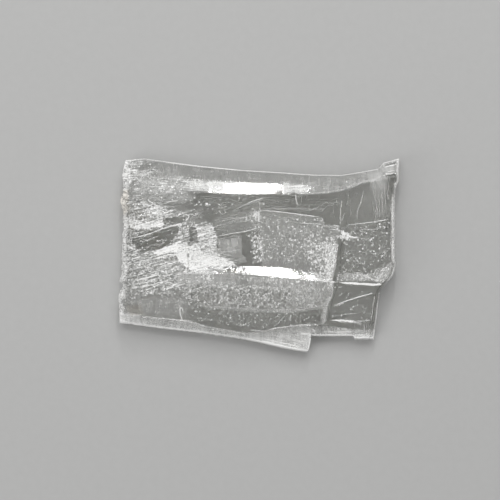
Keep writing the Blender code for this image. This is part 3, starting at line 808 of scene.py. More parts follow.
# Lines of the photograph: tone, width in millimetres at the start and at the end, pixels on the way
LINES = [
    # The stepped edges of the middle terrace, with painted glints along them
    (WHITE, 0.2, 0.3, 259, 210, 278.6, 211.9, 301, 214.8, 320.8, 217.7),
    (WHITE, 0.3, 0.15, 320.8, 217.7, 322.8, 220.7, 317.9, 221.2),
    (WHITE, 0.1, 0.28, 293.3, 222.7, 304, 223.6, 322.8, 224.6),
    (WHITE, 0.2, 0.3, 331.6, 225.1, 339.5, 226.6),
    (WHITE, 0.15, 0.3, 326.7, 229, 338.5, 230.5, 340, 233),
    (SOFT, 0.3, 0.2, 298, 214.6, 301, 216.3, 304, 215.3),
    (WHITE, 0.9, 0.2, 340, 234.5, 346, 236.4, 352, 237.4, 360, 238.4),
    (SOFT, 0.2, 0.1, 360, 238.4, 374, 240.3),
    # Curves and cracks to its right
    (SOFT, 0.12, 0.12, 291.3, 211.9, 309, 210.9, 321.8, 205, 327.7, 201),
    (SOFT, 0.15, 0.12, 319.8, 212.8, 326.7, 206, 332.6, 203.5, 340.4, 202),
    (SOFT, 0.3, 0.25, 341.4, 199.6, 339.8, 210, 339.5, 216.8, 339.5, 225.6),
    (SOFT, 0.35, 0.1, 340.5, 222, 343, 215, 346.5, 210.5),
    (SOFT, 0.3, 0.25, 363, 190.2, 360, 203, 356.7, 210.9, 356.2, 220.7),
    (SOFT, 0.4, 0.25, 351.3, 224.2, 357, 224.3),
    (WHITE, 0.2, 0.3, 345, 225.2, 362, 223.6, 378.8, 221.2, 393.5, 218.7),
    (SOFT, 0.3, 0.2, 359.1, 230.5, 363, 229, 369, 229.5, 376.8, 229.5),
    (SOFT, 0.35, 0.35, 386.6, 235.4, 393.5, 235.4),
    (SOFT, 0.12, 0.2, 369, 253.1, 381.7, 253.1, 393.5, 249.2),
    (FAINT, 0.12, 0.12, 342.4, 252, 352, 250, 362, 252, 369, 253.1),
    (SOFT, 0.2, 0.1, 376, 250, 380, 247, 378, 243),
    # The white streaks on the clear strip
    (WHITE, 0.45, 0.12, 294.8, 194.5, 296.2, 202, 298.2, 207),
    (FAINT, 0.1, 0.1, 301, 196, 301.5, 206),
    (FAINT, 0.12, 0.12, 262, 206, 280, 206.8, 292, 206.5),
    # Curtains of layers on the right
    (FAINT, 0.12, 0.2, 372, 188, 375, 203, 377.5, 219),
    (FAINT, 0.15, 0.2, 377, 190, 378.5, 203, 379, 218),
    (SOFT, 0.1, 0.2, 374.5, 200, 376.5, 211, 379.5, 219),
    (FAINT, 0.15, 0.2, 383, 180, 384.2, 199, 386.5, 218),
    (SOFT, 0.12, 0.15, 387, 193, 388.5, 205, 389, 216),
    (SOFT, 0.3, 0.15, 385.5, 192.5, 386.6, 196, 387.7, 200),
    (FAINT, 0.15, 0.2, 380.5, 176, 381, 200, 382.5, 220),
    # The tab's layers, with painted highlights along its top and right edges
    (WHITE, 0.25, 0.35, 381.6, 162.3, 388.3, 161, 394, 159.4, 397.3, 159.4),
    (WHITE, 0.4, 0.6, 383.6, 167.6, 389, 166.4, 396.2, 164.6),
    (SOFT, 0.12, 0.2, 386, 169.8, 391, 169, 395.8, 167.6),
    (WHITE, 0.2, 0.3, 386, 172.4, 390.5, 171.5, 395.8, 170),
    (WHITE, 0.4, 0.3, 383.6, 174.6, 389.6, 174.4, 393.2, 173.3, 396.6, 171.2),
    (WHITE, 0.25, 0.3, 378.2, 168, 380.2, 163.6, 382.6, 161.8),
    (WHITE, 0.3, 0.3, 398, 160.5, 398.2, 170, 398, 180, 396.6, 188, 395, 192),
    (SOFT, 0.25, 0.3, 396.2, 163, 396.2, 172, 395.8, 180),
    (WHITE, 0.55, 0.3, 394.7, 182, 393.9, 185.5, 394.4, 190, 393.6, 196),
    (FAINT, 0.15, 0.15, 389, 178, 388, 183),
    # The right edge, with painted rim highlights along it
    (WHITE, 0.3, 0.35, 392, 192, 391.8, 212, 392, 236),
    (WHITE, 0.35, 0.25, 392, 238, 391.8, 250, 392.4, 262),
    (WHITE, 0.3, 0.3, 394.4, 263, 391.5, 274, 386.2, 281, 384, 285),
    (SOFT, 0.3, 0.3, 376, 281, 381.5, 272, 386, 266, 391, 262),
    (WHITE, 0.5, 0.2, 383, 268, 380, 271.5),
    (WHITE, 0.35, 0.35, 378.3, 293, 376.2, 313, 375, 331, 373.4, 338),
    (SOFT, 0.25, 0.2, 374.2, 294.7, 372.5, 305, 371, 318, 369, 329.5),
    (SOFT, 0.2, 0.15, 371.5, 313, 369.5, 324),
    (WHITE, 0.4, 0.35, 383.5, 286, 380, 290, 377.5, 296),
    # The ridge and the curved step below it. The first lines along the ridge are a painted highlight that
    # carries the ridge's reflected highlight on to the right end
    (WHITE, 0.6, 0.35, 298, 276.3, 312, 278.8, 327, 281.2),
    (WHITE, 0.5, 0.75, 327, 281.2, 336, 281.8, 350, 282.8, 366, 284, 384.5, 285),
    (WHITE, 0.5, 0.6, 335, 282, 350, 283.4, 366, 284.5, 384, 285.4),
    (WHITE, 0.4, 0.7, 372, 283.8, 378, 284.2, 384, 284.6),
    (SOFT, 0.1, 0.5, 340, 273, 362, 275, 372, 279, 379, 283),
    (SOFT, 0.4, 0.5, 327, 306, 334, 305.6, 344, 302.6),
    (WHITE, 0.35, 0.35, 322.8, 305.3, 335.5, 304, 348.3, 300, 360, 296.1, 374.8, 292.2),
    (SOFT, 0.12, 0.3, 278, 310, 301, 309, 322.8, 305.3),
    (SOFT, 0.15, 0.2, 205.8, 306, 233.6, 307.4, 264, 309.8, 293, 309),
    (WHITE, 0.2, 0.3, 307, 304.5, 315, 304.5),
    (SOFT, 0.25, 0.25, 328, 282, 332.5, 289, 331.5, 295, 326.7, 304, 324.8, 316, 323.5, 324),
    (FAINT, 0.15, 0.15, 333, 283, 330, 300, 327, 312, 326, 322),
    (SOFT, 0.3, 0.1, 348.5, 291, 347, 297),
    (SOFT, 0.3, 0.1, 349, 306.5, 353, 311),
    # The lower block
    (SOFT, 0.12, 0.2, 332.6, 315.8, 347.3, 313.8, 358.1, 312.3),
    (WHITE, 0.35, 1, 327.7, 319.9, 342.4, 320.2, 352, 321.4, 360, 322.6),
    (WHITE, 0.3, 0.15, 359, 321, 371.9, 320.2),
    (SOFT, 0.5, 0.5, 324.7, 331, 338, 332.2, 352.2, 331.5),
    (WHITE, 0.25, 0.3, 311, 335.5, 326, 335, 352.5, 335.3),
    (WHITE, 0.4, 0.4, 354, 337.4, 364, 337.2, 373.4, 337),
    (WHITE, 0.25, 0.2, 356.5, 334.5, 373.4, 335),
    (SOFT, 0.15, 0.15, 363, 322, 364.5, 331),
    (SOFT, 0.12, 0.12, 366, 323, 366.5, 330),
    # The spur
    (WHITE, 0.2, 0.35, 264.8, 329.7, 279.5, 326.8, 301, 324.8, 322.8, 324.1),
    (SOFT, 0.5, 0.35, 288, 325.8, 301, 324.6, 312, 324.2),
    (WHITE, 0.35, 0.4, 310.3, 337, 309, 345, 307, 352),
    (WHITE, 0.35, 0.45, 230, 335, 254, 339.4, 280, 345.2, 304, 350.4),
    (WHITE, 0.2, 0.3, 262, 338, 282, 342.5, 300, 346.4),
    (SOFT, 0.2, 0.3, 284, 338, 298, 341, 307, 342),
    (WHITE, 0.6, 0.4, 300, 333, 310, 334),
    (WHITE, 0.5, 0.3, 311, 329, 316, 330),
    (SOFT, 0.15, 0.2, 268, 334, 284, 337, 296, 344),
    (WHITE, 0.3, 0.15, 250, 329.5, 262, 330.2),
    (SOFT, 0.25, 0.12, 254, 333, 266, 332),
    # Curly cracks
    (SOFT, 0.12, 0.2, 273, 323.6, 277.6, 323.6, 282.5, 316.8, 290.3, 310.9),
    (SOFT, 0.2, 0.1, 290.3, 310.9, 298, 316.8),
    (WHITE, 0.35, 0.3, 180.7, 306.5, 180.5, 313, 182.5, 319, 185, 321.5),
    (WHITE, 0.4, 0.15, 181, 306.6, 183.2, 308.6, 183.6, 314),
    (WHITE, 0.3, 0.25, 183, 319, 186.2, 323, 187.4, 327),
    (SOFT, 0.15, 0.1, 188, 321, 193, 325, 198, 327),
    (SOFT, 0.3, 0.15, 219, 211, 222, 215, 225.5, 213, 224, 209.5),
    (SOFT, 0.3, 0.15, 237, 194.5, 240, 198, 238.5, 202),
    (SOFT, 0.12, 0.12, 215, 202, 222, 207, 225, 206),
    # The lower side, with painted rim highlights along its edges
    (WHITE, 0.15, 0.25, 142, 315.6, 163.6, 318, 189.4, 320.5),
    (SOFT, 0.25, 0.2, 189.4, 320.5, 198.4, 324.6, 218, 328.5, 232.8, 331.5, 245.5, 332.5),
    (WHITE, 0.35, 0.35, 121, 320.2, 124.5, 322.2, 148.3, 325.8, 186.5, 329.7, 215, 333.2, 232, 335.2),
    (SOFT, 0.15, 0.15, 142, 320, 166, 323, 190, 325),
    # The upper side, with a painted rim highlight along its outline
    (WHITE, 0.2, 0.25, 138, 159.8, 146, 158.8, 156, 159.8, 164.5, 162.3, 189.4, 165.6, 220, 168.8, 243,
     171),
    (SOFT, 0.2, 0.2, 243, 171, 277.6, 173, 314, 175.3, 341, 175.8, 352, 174.2, 377, 169.4),
    (SOFT, 0.2, 0.35, 282, 182.4, 290, 182.6),
    (SOFT, 0.2, 0.2, 283.5, 184.5, 298, 186.3),
    (SOFT, 0.2, 0.3, 291.5, 190.2, 309, 190.3),
    (SOFT, 0.3, 0.15, 294, 194.4, 315, 193.6, 340.7, 190.5, 352, 187),
    # Climbing scratches
    (SOFT, 0.2, 0.35, 138, 172, 149, 170, 156, 169),
    (SOFT, 0.3, 0.2, 139.5, 176, 150, 172.5, 158, 171),
    (WHITE, 0.12, 0.3, 239.7, 207, 252, 202, 264, 198.2),
    (SOFT, 0.12, 0.2, 232, 211, 246, 205.5, 262, 200.5),
    (SOFT, 0.15, 0.25, 218, 226.6, 235, 220.4, 251.5, 215.8),
    (SOFT, 0.12, 0.2, 213, 223.6, 232, 219, 247, 217),
    (WHITE, 0.2, 0.25, 196.4, 240.3, 222, 235.5, 246, 231.5, 262, 227),
    (SOFT, 0.2, 0.15, 190.5, 245.2, 218, 239.4, 240, 235),
    (WHITE, 0.35, 0.2, 149, 201, 154, 204, 159, 207),
    (WHITE, 0.15, 0.3, 159, 206, 171, 202, 179, 201),
    (SOFT, 0.2, 0.2, 165, 208, 181, 206),
    (WHITE, 0.3, 0.45, 133.6, 238.4, 151, 233.9, 165, 228.4, 178, 224.9, 186, 222.5),
    (WHITE, 0.35, 0.2, 186, 222.5, 190, 216, 186, 214.8, 178, 215.3),
    (WHITE, 0.6, 0.4, 139.5, 279.4, 150, 277, 160, 274.5),
    (WHITE, 0.25, 0.35, 140.5, 283.4, 150, 281.7, 159, 280.4),
    (WHITE, 0.25, 0.3, 140.5, 287.3, 157, 283.4, 165, 280.4),
    (WHITE, 0.2, 0.3, 147.3, 289.3, 158, 285, 165, 281.4),
    (WHITE, 0.25, 0.5, 166, 290.2, 172, 286.8, 177.8, 282.9),
    (WHITE, 0.3, 0.4, 123.8, 260.8, 134, 258.5, 142.4, 256.8),
    (SOFT, 0.3, 0.4, 126.7, 266.7, 138, 262, 145.4, 259.8),
    (WHITE, 0.3, 0.4, 154.2, 258.8, 168, 255, 178.8, 253.9),
    (WHITE, 0.3, 0.5, 186.6, 274, 200.4, 269.6, 208.2, 267.6),
    (WHITE, 0.3, 0.3, 198, 263, 214, 264.5, 232, 266),
    (SOFT, 0.2, 0.3, 190, 256, 206, 252, 222, 248),
    (SOFT, 0.2, 0.3, 190, 262, 208, 256, 228, 252.5),
    (SOFT, 0.25, 0.2, 219, 252.5, 232, 251, 243, 249),
    (SOFT, 0.2, 0.2, 224, 264, 238, 260, 247, 257),
    (WHITE, 0.25, 0.25, 187, 244, 187.2, 258, 186.6, 274),
    (SOFT, 0.2, 0.2, 259.8, 196, 259.2, 212, 258.8, 236, 258.6, 246),
    (WHITE, 0.3, 0.3, 258.8, 212, 258.6, 222),
    (SOFT, 0.3, 0.2, 258.8, 236, 258.6, 246),
    (FAINT, 0.15, 0.15, 163.5, 237, 168.5, 240),
]

# Random streaks by region: tone, how many, angle and spread in degrees, ranges of length and width in
# millimetres, outline of the region
STREAKS = [
    (SOFT, 210, 16, 7, (0.8, 4.5), (0.1, 0.3), *SPLINTERED),
    (WHITE, 110, 16, 9, (0.5, 3), (0.08, 0.22), *SPLINTERED),
    (WHITE, 60, 8, 9, (0.6, 4), (0.08, 0.2), 188, 244, 222, 252, 238, 264, 190, 268),
    (FAINT, 40, 6, 8, (1, 6), (0.05, 0.12), 150, 193, 260, 195, 258, 212, 216, 216, 160, 202),
    (SOFT, 110, 90, 5, (0.5, 2.2), (0.06, 0.14), 140, 160, 340, 176, 340, 182, 140, 168),
    (WHITE, 60, 17, 6, (1, 4.5), (0.12, 0.3), 126, 250, 184, 246, 186, 290, 130, 294),
    (WHITE, 40, 14, 10, (0.8, 4), (0.12, 0.25), 126, 196, 176, 210, 170, 226, 126, 236),
    (SOFT, 50, 15, 5, (1, 9), (0.06, 0.16), 188, 200, 262, 196, 262, 236, 200, 262, 188, 262),
    (SOFT, 60, 10, 8, (1, 6), (0.1, 0.25), 188, 246, 218, 252, 238, 266, 190, 270),
    # Streaks left of the first polished facet's highlight: painted highlight on its scratches
    (SOFT, 110, -3, 4, (1, 7), (0.08, 0.2), 136, 176, 180, 178, 212, 182, 214, 191, 136, 194),
    (FAINT, 26, 2, 5, (1.5, 7), (0.06, 0.14), 150, 192, 260, 194, 260, 200, 150, 200),
    (SOFT, 46, 5, 6, (1, 7), (0.07, 0.16), 126, 186, 182, 189, 196, 197, 184, 206, 126, 200),
    (FAINT, 30, 2, 3, (2, 9), (0.05, 0.1), 262, 194, 336, 196, 336, 206, 262, 208),
    (FAINT, 30, 88, 5, (0.8, 4), (0.05, 0.12), 262, 194, 356, 192, 356, 220, 330, 218),
    (SOFT, 36, 14, 16, (0.6, 3), (0.1, 0.22), 132, 162, 160, 165, 160, 178, 132, 178),
    (FAINT, 90, 88, 6, (0.4, 1.6), (0.06, 0.16), 180, 166, 340, 176, 340, 190, 290, 192, 286, 182, 180,
     174),
    (SOFT, 46, 1, 5, (0.6, 3.5), (0.08, 0.18), 286, 182, 345, 178, 352, 186, 300, 193),
    (WHITE, 60, 0, 6, (0.5, 2.5), (0.1, 0.2), 283, 183, 300, 185, 310, 190, 298, 194, 284, 193),
    # White streaks where the first polished facet's highlight starts: painted highlight on its scratches
    (WHITE, 110, -1, 3, (1, 7), (0.08, 0.2), 190, 181, 222, 182, 226, 192, 190, 191),
    (SOFT, 110, 90, 6, (0.5, 1.8), (0.08, 0.2), 236, 277, 300, 281, 326, 283, 300, 285, 240, 282),
    (WHITE, 120, 90, 4, (0.4, 1.6), (0.1, 0.22), 232, 275, 300, 279.5, 326, 282, 300, 283, 236, 279),
    (SOFT, 60, 60, 40, (0.3, 1.2), (0.06, 0.14), 300, 183, 350, 177, 364, 182, 340, 190, 306, 192),
    (SOFT, 90, 80, 20, (0.3, 1.2), (0.08, 0.2), 262, 264, 300, 267, 330, 276, 328, 281, 300, 272, 262,
     268),
    (FAINT, 36, 91, 4, (1.5, 9), (0.06, 0.18), 368, 172, 388, 168, 388, 219, 372, 219),
    (SOFT, 14, 80, 16, (0.4, 1.4), (0.06, 0.12), 386, 176, 390, 176, 390, 217, 386, 217),
    (FAINT, 70, 90, 7, (0.4, 2.2), (0.08, 0.16), 248, 218, 335, 226, 335, 270, 250, 262),
    (SOFT, 24, 90, 8, (0.5, 1.8), (0.1, 0.22), 252, 236, 264, 236, 264, 258, 252, 258),
    (FAINT, 30, -4, 5, (0.8, 4), (0.06, 0.14), 248, 210, 322, 218, 336, 228, 250, 228),
    (FAINT, 60, 90, 5, (0.5, 2), (0.06, 0.14), 206, 274, 330, 284, 326, 296, 210, 290),
    (FAINT, 24, 6, 25, (0.4, 2.2), (0.05, 0.12), 342, 226, 392, 222, 392, 262, 342, 268),
    (SOFT, 70, -9, 5, (0.8, 6), (0.08, 0.2), 248, 334, 306, 326, 306, 350, 262, 341),
    (WHITE, 30, -9, 3, (1, 5), (0.08, 0.2), 264, 340, 306, 338, 306, 350, 274, 343),
    (SOFT, 60, -6, 5, (0.8, 4), (0.08, 0.22), 122, 316, 246, 334, 246, 339, 122, 324),
    (FAINT, 46, 88, 9, (0.5, 2.8), (0.05, 0.12), 200, 308, 300, 312, 300, 322, 210, 322),
    (FAINT, 30, 6, 7, (0.8, 5), (0.05, 0.12), *FIRST_CLIMB),
    (SOFT, 16, 90, 6, (0.4, 1.6), (0.05, 0.12), *FIRST_CLIMB),
    (FAINT, 10, 88, 6, (0.6, 2), (0.06, 0.14), 352, 323, 372, 322, 372, 332, 352, 332),
    (SOFT, 14, 15, 6, (0.8, 3), (0.08, 0.2), 381, 163, 397, 158, 397, 174, 381, 174),
    (SOFT, 16, 60, 25, (0.3, 1.4), (0.1, 0.25), 374, 281, 386, 264, 394, 264, 388, 282),
]

# Random small grains by region: tone, how many, range of size in millimetres, outline of the region
SPECKS = [
    (SOFT, 420, (0.08, 0.2), 246, 212, 322, 219, 338, 232, 335, 270, 262, 262, 246, 240),
    (WHITE, 120, (0.08, 0.16), 262, 226, 338, 232, 336, 270, 262, 262),
    (WHITE, 150, (0.08, 0.2), 300, 236, 338, 236, 330, 281, 310, 276),
    (SOFT, 520, (0.08, 0.16), 176, 286, 330, 285, 326, 304, 290, 309, 190, 308),
    (WHITE, 300, (0.07, 0.15), 186, 288, 300, 289, 296, 304, 200, 304),
    (WHITE, 70, (0.07, 0.14), 300, 286, 328, 288, 324, 306, 296, 306),
    (WHITE, 90, (0.06, 0.14), 160, 292, 200, 288, 200, 306, 160, 304),
    (SOFT, 160, (0.05, 0.12), 190, 308, 320, 309, 318, 322, 262, 327, 206, 322),
    (SOFT, 240, (0.07, 0.14), 268, 222, 336, 230, 335, 268, 268, 262),
    (WHITE, 110, (0.06, 0.13), 284, 224, 336, 232, 335, 268, 290, 262),
    (SOFT, 40, (0.06, 0.13), *FIRST_CLIMB),
    (SOFT, 120, (0.05, 0.12), 126, 288, 186, 290, 182, 308, 130, 306),
    (SOFT, 90, (0.09, 0.22), 336, 262, 374, 268, 380, 281, 336, 280),
    (WHITE, 60, (0.08, 0.18), 336, 266, 372, 270, 378, 280, 336, 280),
    (SOFT, 160, (0.07, 0.15), 342, 226, 392, 222, 392, 262, 342, 266),
    (WHITE, 30, (0.08, 0.16), 346, 226, 390, 224, 388, 240, 346, 240),
    (SOFT, 60, (0.06, 0.14), 336, 188, 362, 186, 352, 206, 336, 206),
    (SOFT, 90, (0.06, 0.14), 182, 316, 300, 312, 310, 322, 262, 328, 200, 322),
    (WHITE, 60, (0.08, 0.18), 372, 270, 392, 262, 388, 282, 376, 283),
    (WHITE, 90, (0.1, 0.24), 262, 266, 330, 272, 330, 284, 262, 284),
    (WHITE, 260, (0.08, 0.22), 126, 200, 186, 212, 214, 230, 212, 282, 130, 296),
    (WHITE, 70, (0.1, 0.24), 124, 158, 140, 158, 138, 180, 124, 184),
    (WHITE, 70, (0.08, 0.2), 186, 178, 214, 181, 214, 189, 186, 189),
    (SOFT, 160, (0.06, 0.13), 300, 180, 356, 176, 362, 183, 340, 190, 304, 193),
    (WHITE, 60, (0.08, 0.2), 250, 211, 262, 211, 262, 260, 250, 260),
    (SOFT, 60, (0.05, 0.12), 190, 200, 262, 198, 258, 236, 200, 226),
    (SOFT, 60, (0.08, 0.18), 260, 238, 300, 240, 300, 266, 262, 262),
    (WHITE, 6, (0.26, 0.32), 206.4, 203.4, 208, 203.4, 208, 204.8, 206.4, 204.8),
    (WHITE, 3, (0.25, 0.3), 152, 292.5, 154.4, 292.5, 154.4, 295, 152, 295),
    (WHITE, 100, (0.08, 0.2), 326, 236, 338, 236, 334, 282, 325, 282),
]

# How the lines and grains lie on the surface, in millimetres where it is a length
LINE_POINT_GAP = 0.45
SHORTEST_RUN = 4
HIGHEST_STEP = 0.5
SINK = 0.03
RIB_HEIGHT = 0.3
BOX_MARGIN = 0.004
STEEPEST_NORMAL_Z = 0.15
ABOVE_ALL = 30.0


def scattered(draw, outline, count):
    """Random places inside an outline of pixels, in millimetres."""
    corners = spots(outline)
    low, high = np.min(corners, 0), np.max(corners, 0)
    found = np.zeros((0, 2))
    while len(found) < count:
        tries = draw.uniform(low, high, (4 * count, 2))
        inside = distance_inside(corners, tries[:, 0], tries[:, 1]) > 0
        found = np.concatenate([found, tries[inside]])
    return found[:count]


def random_lines():
    """The random streaks: each is a little bent, and mostly near the short end of its range."""
    draw = np.random.default_rng(29)
    for tone, count, angle, spread, lengths, widths, *outline in STREAKS:
        for x, y in scattered(draw, outline, count):
            turn = math.radians(angle + draw.normal(0, spread / 2))
            length = lengths[0] + (lengths[1] - lengths[0]) * draw.uniform(0, 1) ** 2
            width = draw.uniform(*widths)
            bend = draw.normal(0, 0.06) * length
            dx, dy = math.cos(turn) * length / 2, math.sin(turn) * length / 2
            middle = (x - bend * math.sin(turn), y + bend * math.cos(turn))
            points = [(x - dx, y - dy), middle, (x + dx, y + dy)]
            yield Line(tone, width * draw.uniform(0.3, 1), width, points)


def resampled(points):
    """Points along a line at even gaps, and their share of its length."""
    points = np.array(points, float)
    gaps = np.hypot(*np.diff(points, axis=0).T)
    reach = np.concatenate([[0], np.cumsum(gaps)])
    count = max(4, int(reach[-1] / LINE_POINT_GAP) + 1)
    at = np.linspace(0, reach[-1], count)
    return np.stack([np.interp(at, reach, points[:, k]) for k in (0, 1)], 1), at / reach[-1]


class Cover:
    """Finds the crystal's upper surface under a place."""

    def __init__(self, obj):
        mesh = obj.data
        corners = [tuple(v.co / MM) for v in mesh.vertices]
        self.tree = BVHTree.FromPolygons(corners, [tuple(p.vertices) for p in mesh.polygons])

    def under(self, x, y):
        """The place and the normal of the surface under (x, y), or None past the rim or on a steep side."""
        hit, normal, _, _ = self.tree.ray_cast(Vector((x, y, ABOVE_ALL)), Vector((0, 0, -1)))
        if hit is None or normal.z < STEEPEST_NORMAL_Z:
            return None
        return np.array(hit), np.array(normal)


def kept_in_box(points):
    """Points moved into the CAD solid's box where they lie past it."""
    low = np.array(CAD_BOX[0]) / MM + BOX_MARGIN
    high = np.array(CAD_BOX[1]) / MM - BOX_MARGIN
    return np.clip(points, low, high)


def unbroken_runs(hits):
    """The runs of places that the crystal covers, parted where its surface steps up or down."""
    runs, run = [], []
    for k, hit in enumerate(hits):
        stepped = run and hit and abs(hit[0][2] - hits[run[-1]][0][2]) > HIGHEST_STEP
        if hit is None or stepped:
            runs.append(run)
            run = []
        if hit:
            run.append(k)
    return [run for run in runs + [run] if len(run) >= SHORTEST_RUN]


def draped(item, cover, draw):
    """Slivers of triangular section along a line on the crystal, as points and faces."""
    path, share = resampled(item.points)
    shake = 0.25 * min(item.start, item.end)
    path = path + draw.normal(0, shake, path.shape) * np.minimum(share, 1 - share)[:, None]
    hits = [cover.under(x, y) for x, y in path]
    for run in unbroken_runs(hits):
        yield sliver(item, [hits[k] for k in run], share[run], draw)


def sliver(item, hits, share, draw):
    """One closed sliver through places on the surface: its points and faces."""
    places = np.array([hit[0] for hit in hits])
    normals = np.array([hit[1] for hit in hits])
    along = np.gradient(places, axis=0)
    across = np.cross(along, normals)
    across /= np.linalg.norm(across, axis=1)[:, None]
    ends = np.clip(np.minimum(share - share[0], share[-1] - share) / 0.12, 0.05, 1)
    width = mix(item.start, item.end, share) * ends * draw.uniform(0.75, 1.15, len(share))
    low = places - SINK * normals
    left, right = low - across * width[:, None] / 2, low + across * width[:, None] / 2
    top = places + normals * (RIB_HEIGHT * width)[:, None]
    points = kept_in_box(np.concatenate([left[1:-1], top[1:-1], right[1:-1], places[:1], places[-1:]]))
    inner = len(places) - 2
    rows = [np.arange(inner), inner + np.arange(inner), 2 * inner + np.arange(inner)]
    first, last = 3 * inner, 3 * inner + 1
    faces = []
    for a, b in zip(rows, rows[1:] + rows[:1]):
        faces += [(a[k], a[k + 1], b[k + 1], b[k]) for k in range(inner - 1)]
        faces += [(first, a[0], b[0]), (b[-1], a[-1], last)]
    return points, faces


def speck(place, normal, size, draw):
    """A small eight-sided grain: its points and faces."""
    turn = draw.uniform(0, math.tau)
    a = np.cross(normal, (math.cos(turn), math.sin(turn), 0.3))
    a /= np.linalg.norm(a)
    b = np.cross(normal, a)
    long, short = size * draw.uniform(1.0, 1.8), size * draw.uniform(0.6, 1.0)
    points = [place + a * long, place + b * short, place - a * long, place - b * short,
              place + normal * size * 0.5, place - normal * size * 0.5]
    faces = [(0, 1, 4), (1, 2, 4), (2, 3, 4), (3, 0, 4), (1, 0, 5), (2, 1, 5), (3, 2, 5), (0, 3, 5)]
    return kept_in_box(np.array(points)), faces


class Heap:
    """Many small closed shapes that make up one mesh."""

    def __init__(self):
        self.points, self.faces, self.count = [], [], 0

    def add(self, points, faces):
        self.points.append(points)
        self.faces += [tuple(int(k) + self.count for k in face) for face in faces]
        self.count += len(points)


def add_marks(crystal):
    """The bright lines and specks, as one piece for each tone."""
    cover = Cover(crystal)
    draw = np.random.default_rng(37)
    heaps = {tone: Heap() for tone, _, _ in TONES}
    placed = [Line(tone, start, end, spots(pixels)) for tone, start, end, *pixels in LINES]
    for item in placed + list(random_lines()):
        for points, faces in draped(item, cover, draw):
            heaps[item.tone].add(points, faces)
    for tone, count, sizes, *outline in SPECKS:
        for x, y in scattered(draw, outline, count):
            hit = cover.under(x, y)
            if hit:
                heaps[tone].add(*speck(*hit, draw.uniform(*sizes), draw))
    for tone, name, opacity in TONES:
        heap, material = heaps[tone], frost_and_glint_material(name, opacity)
        piece = mesh_object(name, np.concatenate(heap.points), heap.faces, material, smooth=False)
        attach(piece, "root")


# Materials

# Places in metres between which the crystal's finish changes
FRONT_ROOF_Y = (-10.5 * MM, -8.5 * MM)
BACK_SLOPE_Y = (14 * MM, 16 * MM)
BROKEN_END_X = (-37.6 * MM, -36.4 * MM)
MIDDLE_X = (-4 * MM, 0)
GYPSUM_IOR = 1.52


class Nodes:
    """A small helper that adds nodes to a material and links them."""

    def __init__(self, name):
        self.material = bpy.data.materials.new(name)
        self.material.use_nodes = True
        self.tree = self.material.node_tree
        self.shader = self.tree.nodes["Principled BSDF"]

    def add(self, kind, settings=None, **inputs):
        node = self.tree.nodes.new(kind)
        for key, value in (settings or {}).items():
            setattr(node, key, value)
        return self.fill(node, **inputs)

    def fill(self, node, **inputs):
        """Gives a node's inputs their values or links, with _ for the blanks in their names."""
        for key, value in inputs.items():
            self.put(node.inputs[key.replace("_", " ")], value)
        return node

    def put(self, socket, value):
        if isinstance(value, bpy.types.NodeSocket):
            self.tree.links.new(value, socket)
        else:
            socket.default_value = value

    def math(self, operation, *values, clamp=False):
        node = self.add("ShaderNodeMath", {"operation": operation, "use_clamp": clamp})
        for socket, value in zip(node.inputs, values):
            self.put(socket, value)
        return node.outputs[0]

    def plus(self, a, b, clamp=False):
        return self.math("ADD", a, b, clamp=clamp)

    def minus(self, a, b):
        return self.math("SUBTRACT", a, b)

    def times(self, a, b):
        return self.math("MULTIPLY", a, b)

    def larger(self, a, b):
        return self.math("MAXIMUM", a, b)

    def fit(self, value, low, high, to_low=0.0, to_high=1.0):
        node = self.add("ShaderNodeMapRange", {"clamp": True})
        for socket, v in zip(node.inputs, (value, low, high, to_low, to_high)):
            self.put(socket, v)
        return node.outputs[0]

    def noise(self, sizes, detail=2.0, distortion=0.0, turn=0.0):
        """Noise with bumps of a size in millimetres along each axis, turned about the upright axis."""
        place = self.add("ShaderNodeTexCoord").outputs["Object"]
        turned = self.add("ShaderNodeVectorRotate", {"rotation_type": "Z_AXIS"}, Vector=place, Angle=-turn)
        scale = [1 / (size * MM) for size in sizes]
        mapped = self.add("ShaderNodeMapping", Vector=turned.outputs[0], Scale=scale).outputs[0]
        node = self.add("ShaderNodeTexNoise", Vector=mapped, Scale=1.0, Detail=detail, Distortion=distortion)
        return node.outputs["Fac"]

    def grains(self, size, cover):
        """Separate small grains, about a size in millimetres apart, in a share of the places."""
        place = self.add("ShaderNodeTexCoord").outputs["Object"]
        cells = self.add("ShaderNodeTexVoronoi", Vector=place, Scale=1 / (size * MM), Randomness=1.0)
        pick = self.add("ShaderNodeSeparateColor", Color=cells.outputs["Color"]).outputs
        radius = self.fit(pick["Green"], 0.0, 1.0, 0.16, 0.46)
        dot = self.math("DIVIDE", self.minus(radius, cells.outputs["Distance"]), 0.12, clamp=True)
        return self.times(dot, self.math("LESS_THAN", pick["Red"], cover))

    def mask(self, name):
        return self.add("ShaderNodeAttribute", {"attribute_name": name}).outputs["Fac"]

    def mixed(self, a, b, share):
        """a where the share is 0 and b where it is 1."""
        return self.plus(self.times(a, self.minus(1.0, share)), self.times(b, share))

    def mixed_colour(self, a, b, share):
        """The same for two colours, which are the node's inputs 6 and 7."""
        node = self.add("ShaderNodeMix", {"data_type": "RGBA"}, Factor=share)
        node.inputs[6].default_value, node.inputs[7].default_value = (*a, 1), (*b, 1)
        return node.outputs[2]


